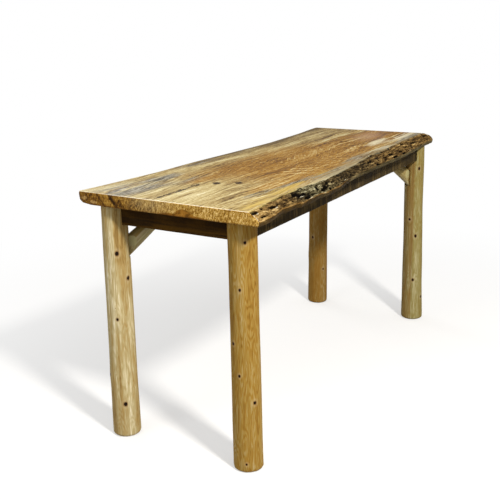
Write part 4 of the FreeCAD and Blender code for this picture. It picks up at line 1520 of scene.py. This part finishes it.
class SLABTABLE_OT_stage(bpy.types.Operator):
    """Set the pale floor, the soft lights and the camera"""
    bl_idname = "slabtable.stage"
    bl_label = "Stage"

    def execute(self, context):
        settings = context.scene.slab_table.stage
        context.scene.view_settings.view_transform = "Standard"
        self.lay_floor(settings)
        self.light_room(settings, context.scene)
        self.set_camera(settings, context.scene)
        return {"FINISHED"}

    def lay_floor(self, settings):
        """A matt floor that keeps the shadow and turns to white away from the table."""
        clear_selection()
        bpy.ops.mesh.primitive_circle_add(vertices=96, radius=FLOOR_RADIUS, fill_type="NGON")
        floor = bpy.context.object
        floor.name = "pale_floor"
        material = bpy.data.materials.new("pale_floor")
        nodes = Nodes(material)
        seen = seen_directly(nodes)
        matt = nodes.add("BsdfDiffuse", nodes.blend(seen, settings.bounce, settings.floor))
        white = nodes.add("Emission", WHITE, 1.0)
        reach = nodes.vector("LENGTH", nodes.add("TexCoord").outputs["Object"])
        share = nodes.times(seen, nodes.spread(reach, *FLOOR_FADE, 0.45, 1.0))
        mix = nodes.add("MixShader", share, matt.outputs[0], white.outputs[0])
        nodes.add("OutputMaterial", mix.outputs[0])
        floor.data.materials.append(material)

    def light_room(self, settings, scene):
        """A bright ceiling over dim walls, with a low white backdrop all round, a key lamp and two fills."""
        world = bpy.data.worlds.new("studio")
        scene.world = world
        nodes = Nodes(world)
        rise = nodes.split(nodes.add("TexCoord").outputs["Generated"])[2]
        strength = nodes.level(rise, 0.0, 1.0, settings.side, settings.side + settings.overhead)
        room = nodes.add("Background", WHITE, strength)
        white = nodes.add("Background", WHITE, 1.0)
        seen = seen_directly(nodes, nodes.level(rise, 0.12, 0.04))
        mix = nodes.add("MixShader", seen, room.outputs[0], white.outputs[0])
        nodes.add("OutputWorld", mix.outputs[0])
        soft_lamp("key_light", (-2.45, -3.55, 4.2), 0.6, settings.key_power, (1.0, 0.97, 0.92))
        soft_lamp("left_fill", (-4.5, 1.6, 3.0), 2.5, settings.fill_power, (0.96, 0.98, 1.0))
        soft_lamp("back_fill", (2.5, 4.5, 3.2), 2.5, settings.fill_power, (1.0, 0.99, 0.97))

    def set_camera(self, settings, scene):
        """A camera at the photograph's view."""
        clear_selection()
        bpy.ops.object.camera_add(location=settings.eye)
        camera = bpy.context.object
        camera.name = "photo_camera"
        heading, dip, roll = settings.azimuth, settings.dip, settings.roll
        sight = Vector((math.cos(heading) * math.cos(dip), math.sin(heading) * math.cos(dip), -math.sin(dip)))
        right = Vector((math.sin(heading), -math.cos(heading), 0.0))
        up = right.cross(sight)
        turn = camera.matrix_world.to_3x3()
        turn.col[0] = right * math.cos(roll) + up * math.sin(roll)
        turn.col[1] = up * math.cos(roll) - right * math.sin(roll)
        turn.col[2] = -sight
        camera.rotation_euler = turn.to_euler()
        camera.data.sensor_width = SENSOR_WIDTH
        camera.data.lens = settings.lens
        camera.data.clip_start = 0.05
        camera.data.clip_end = 60.0
        scene.camera = camera


class SLABTABLE_PT_panel(bpy.types.Panel):
    """Buttons that build the table, and its settings"""
    bl_idname = "SLABTABLE_PT_panel"
    bl_label = "Slab Table"
    bl_space_type = "VIEW_3D"
    bl_region_type = "UI"
    bl_category = "Slab Table"

    def draw(self, context):
        for operator in OPERATORS:
            self.layout.operator(operator.bl_idname)
        table = context.scene.slab_table
        for group in (table.slab, table.legs, table.frame, table.stage):
            for setting in type(group).__annotations__:
                self.layout.prop(group, setting)


OPERATORS = (
    SLABTABLE_OT_slab, SLABTABLE_OT_legs, SLABTABLE_OT_aprons,
    SLABTABLE_OT_braces, SLABTABLE_OT_fasteners, SLABTABLE_OT_stage,
)
SETTINGS = (SlabSettings, LegSettings, FrameSettings, StageSettings, TableSettings)
CLASSES = SETTINGS + OPERATORS + (SLABTABLE_PT_panel,)


def register():
    for each in CLASSES:
        bpy.utils.register_class(each)
    bpy.types.Scene.slab_table = bpy.props.PointerProperty(type=TableSettings)


def unregister():
    del bpy.types.Scene.slab_table
    for each in reversed(CLASSES):
        bpy.utils.unregister_class(each)


def main():
    register()
    bpy.ops.slabtable.slab()
    bpy.ops.slabtable.legs()
    bpy.ops.slabtable.aprons()
    bpy.ops.slabtable.braces()
    bpy.ops.slabtable.fasteners()
    bpy.ops.slabtable.stage()


if __name__ == "__main__":
    main()
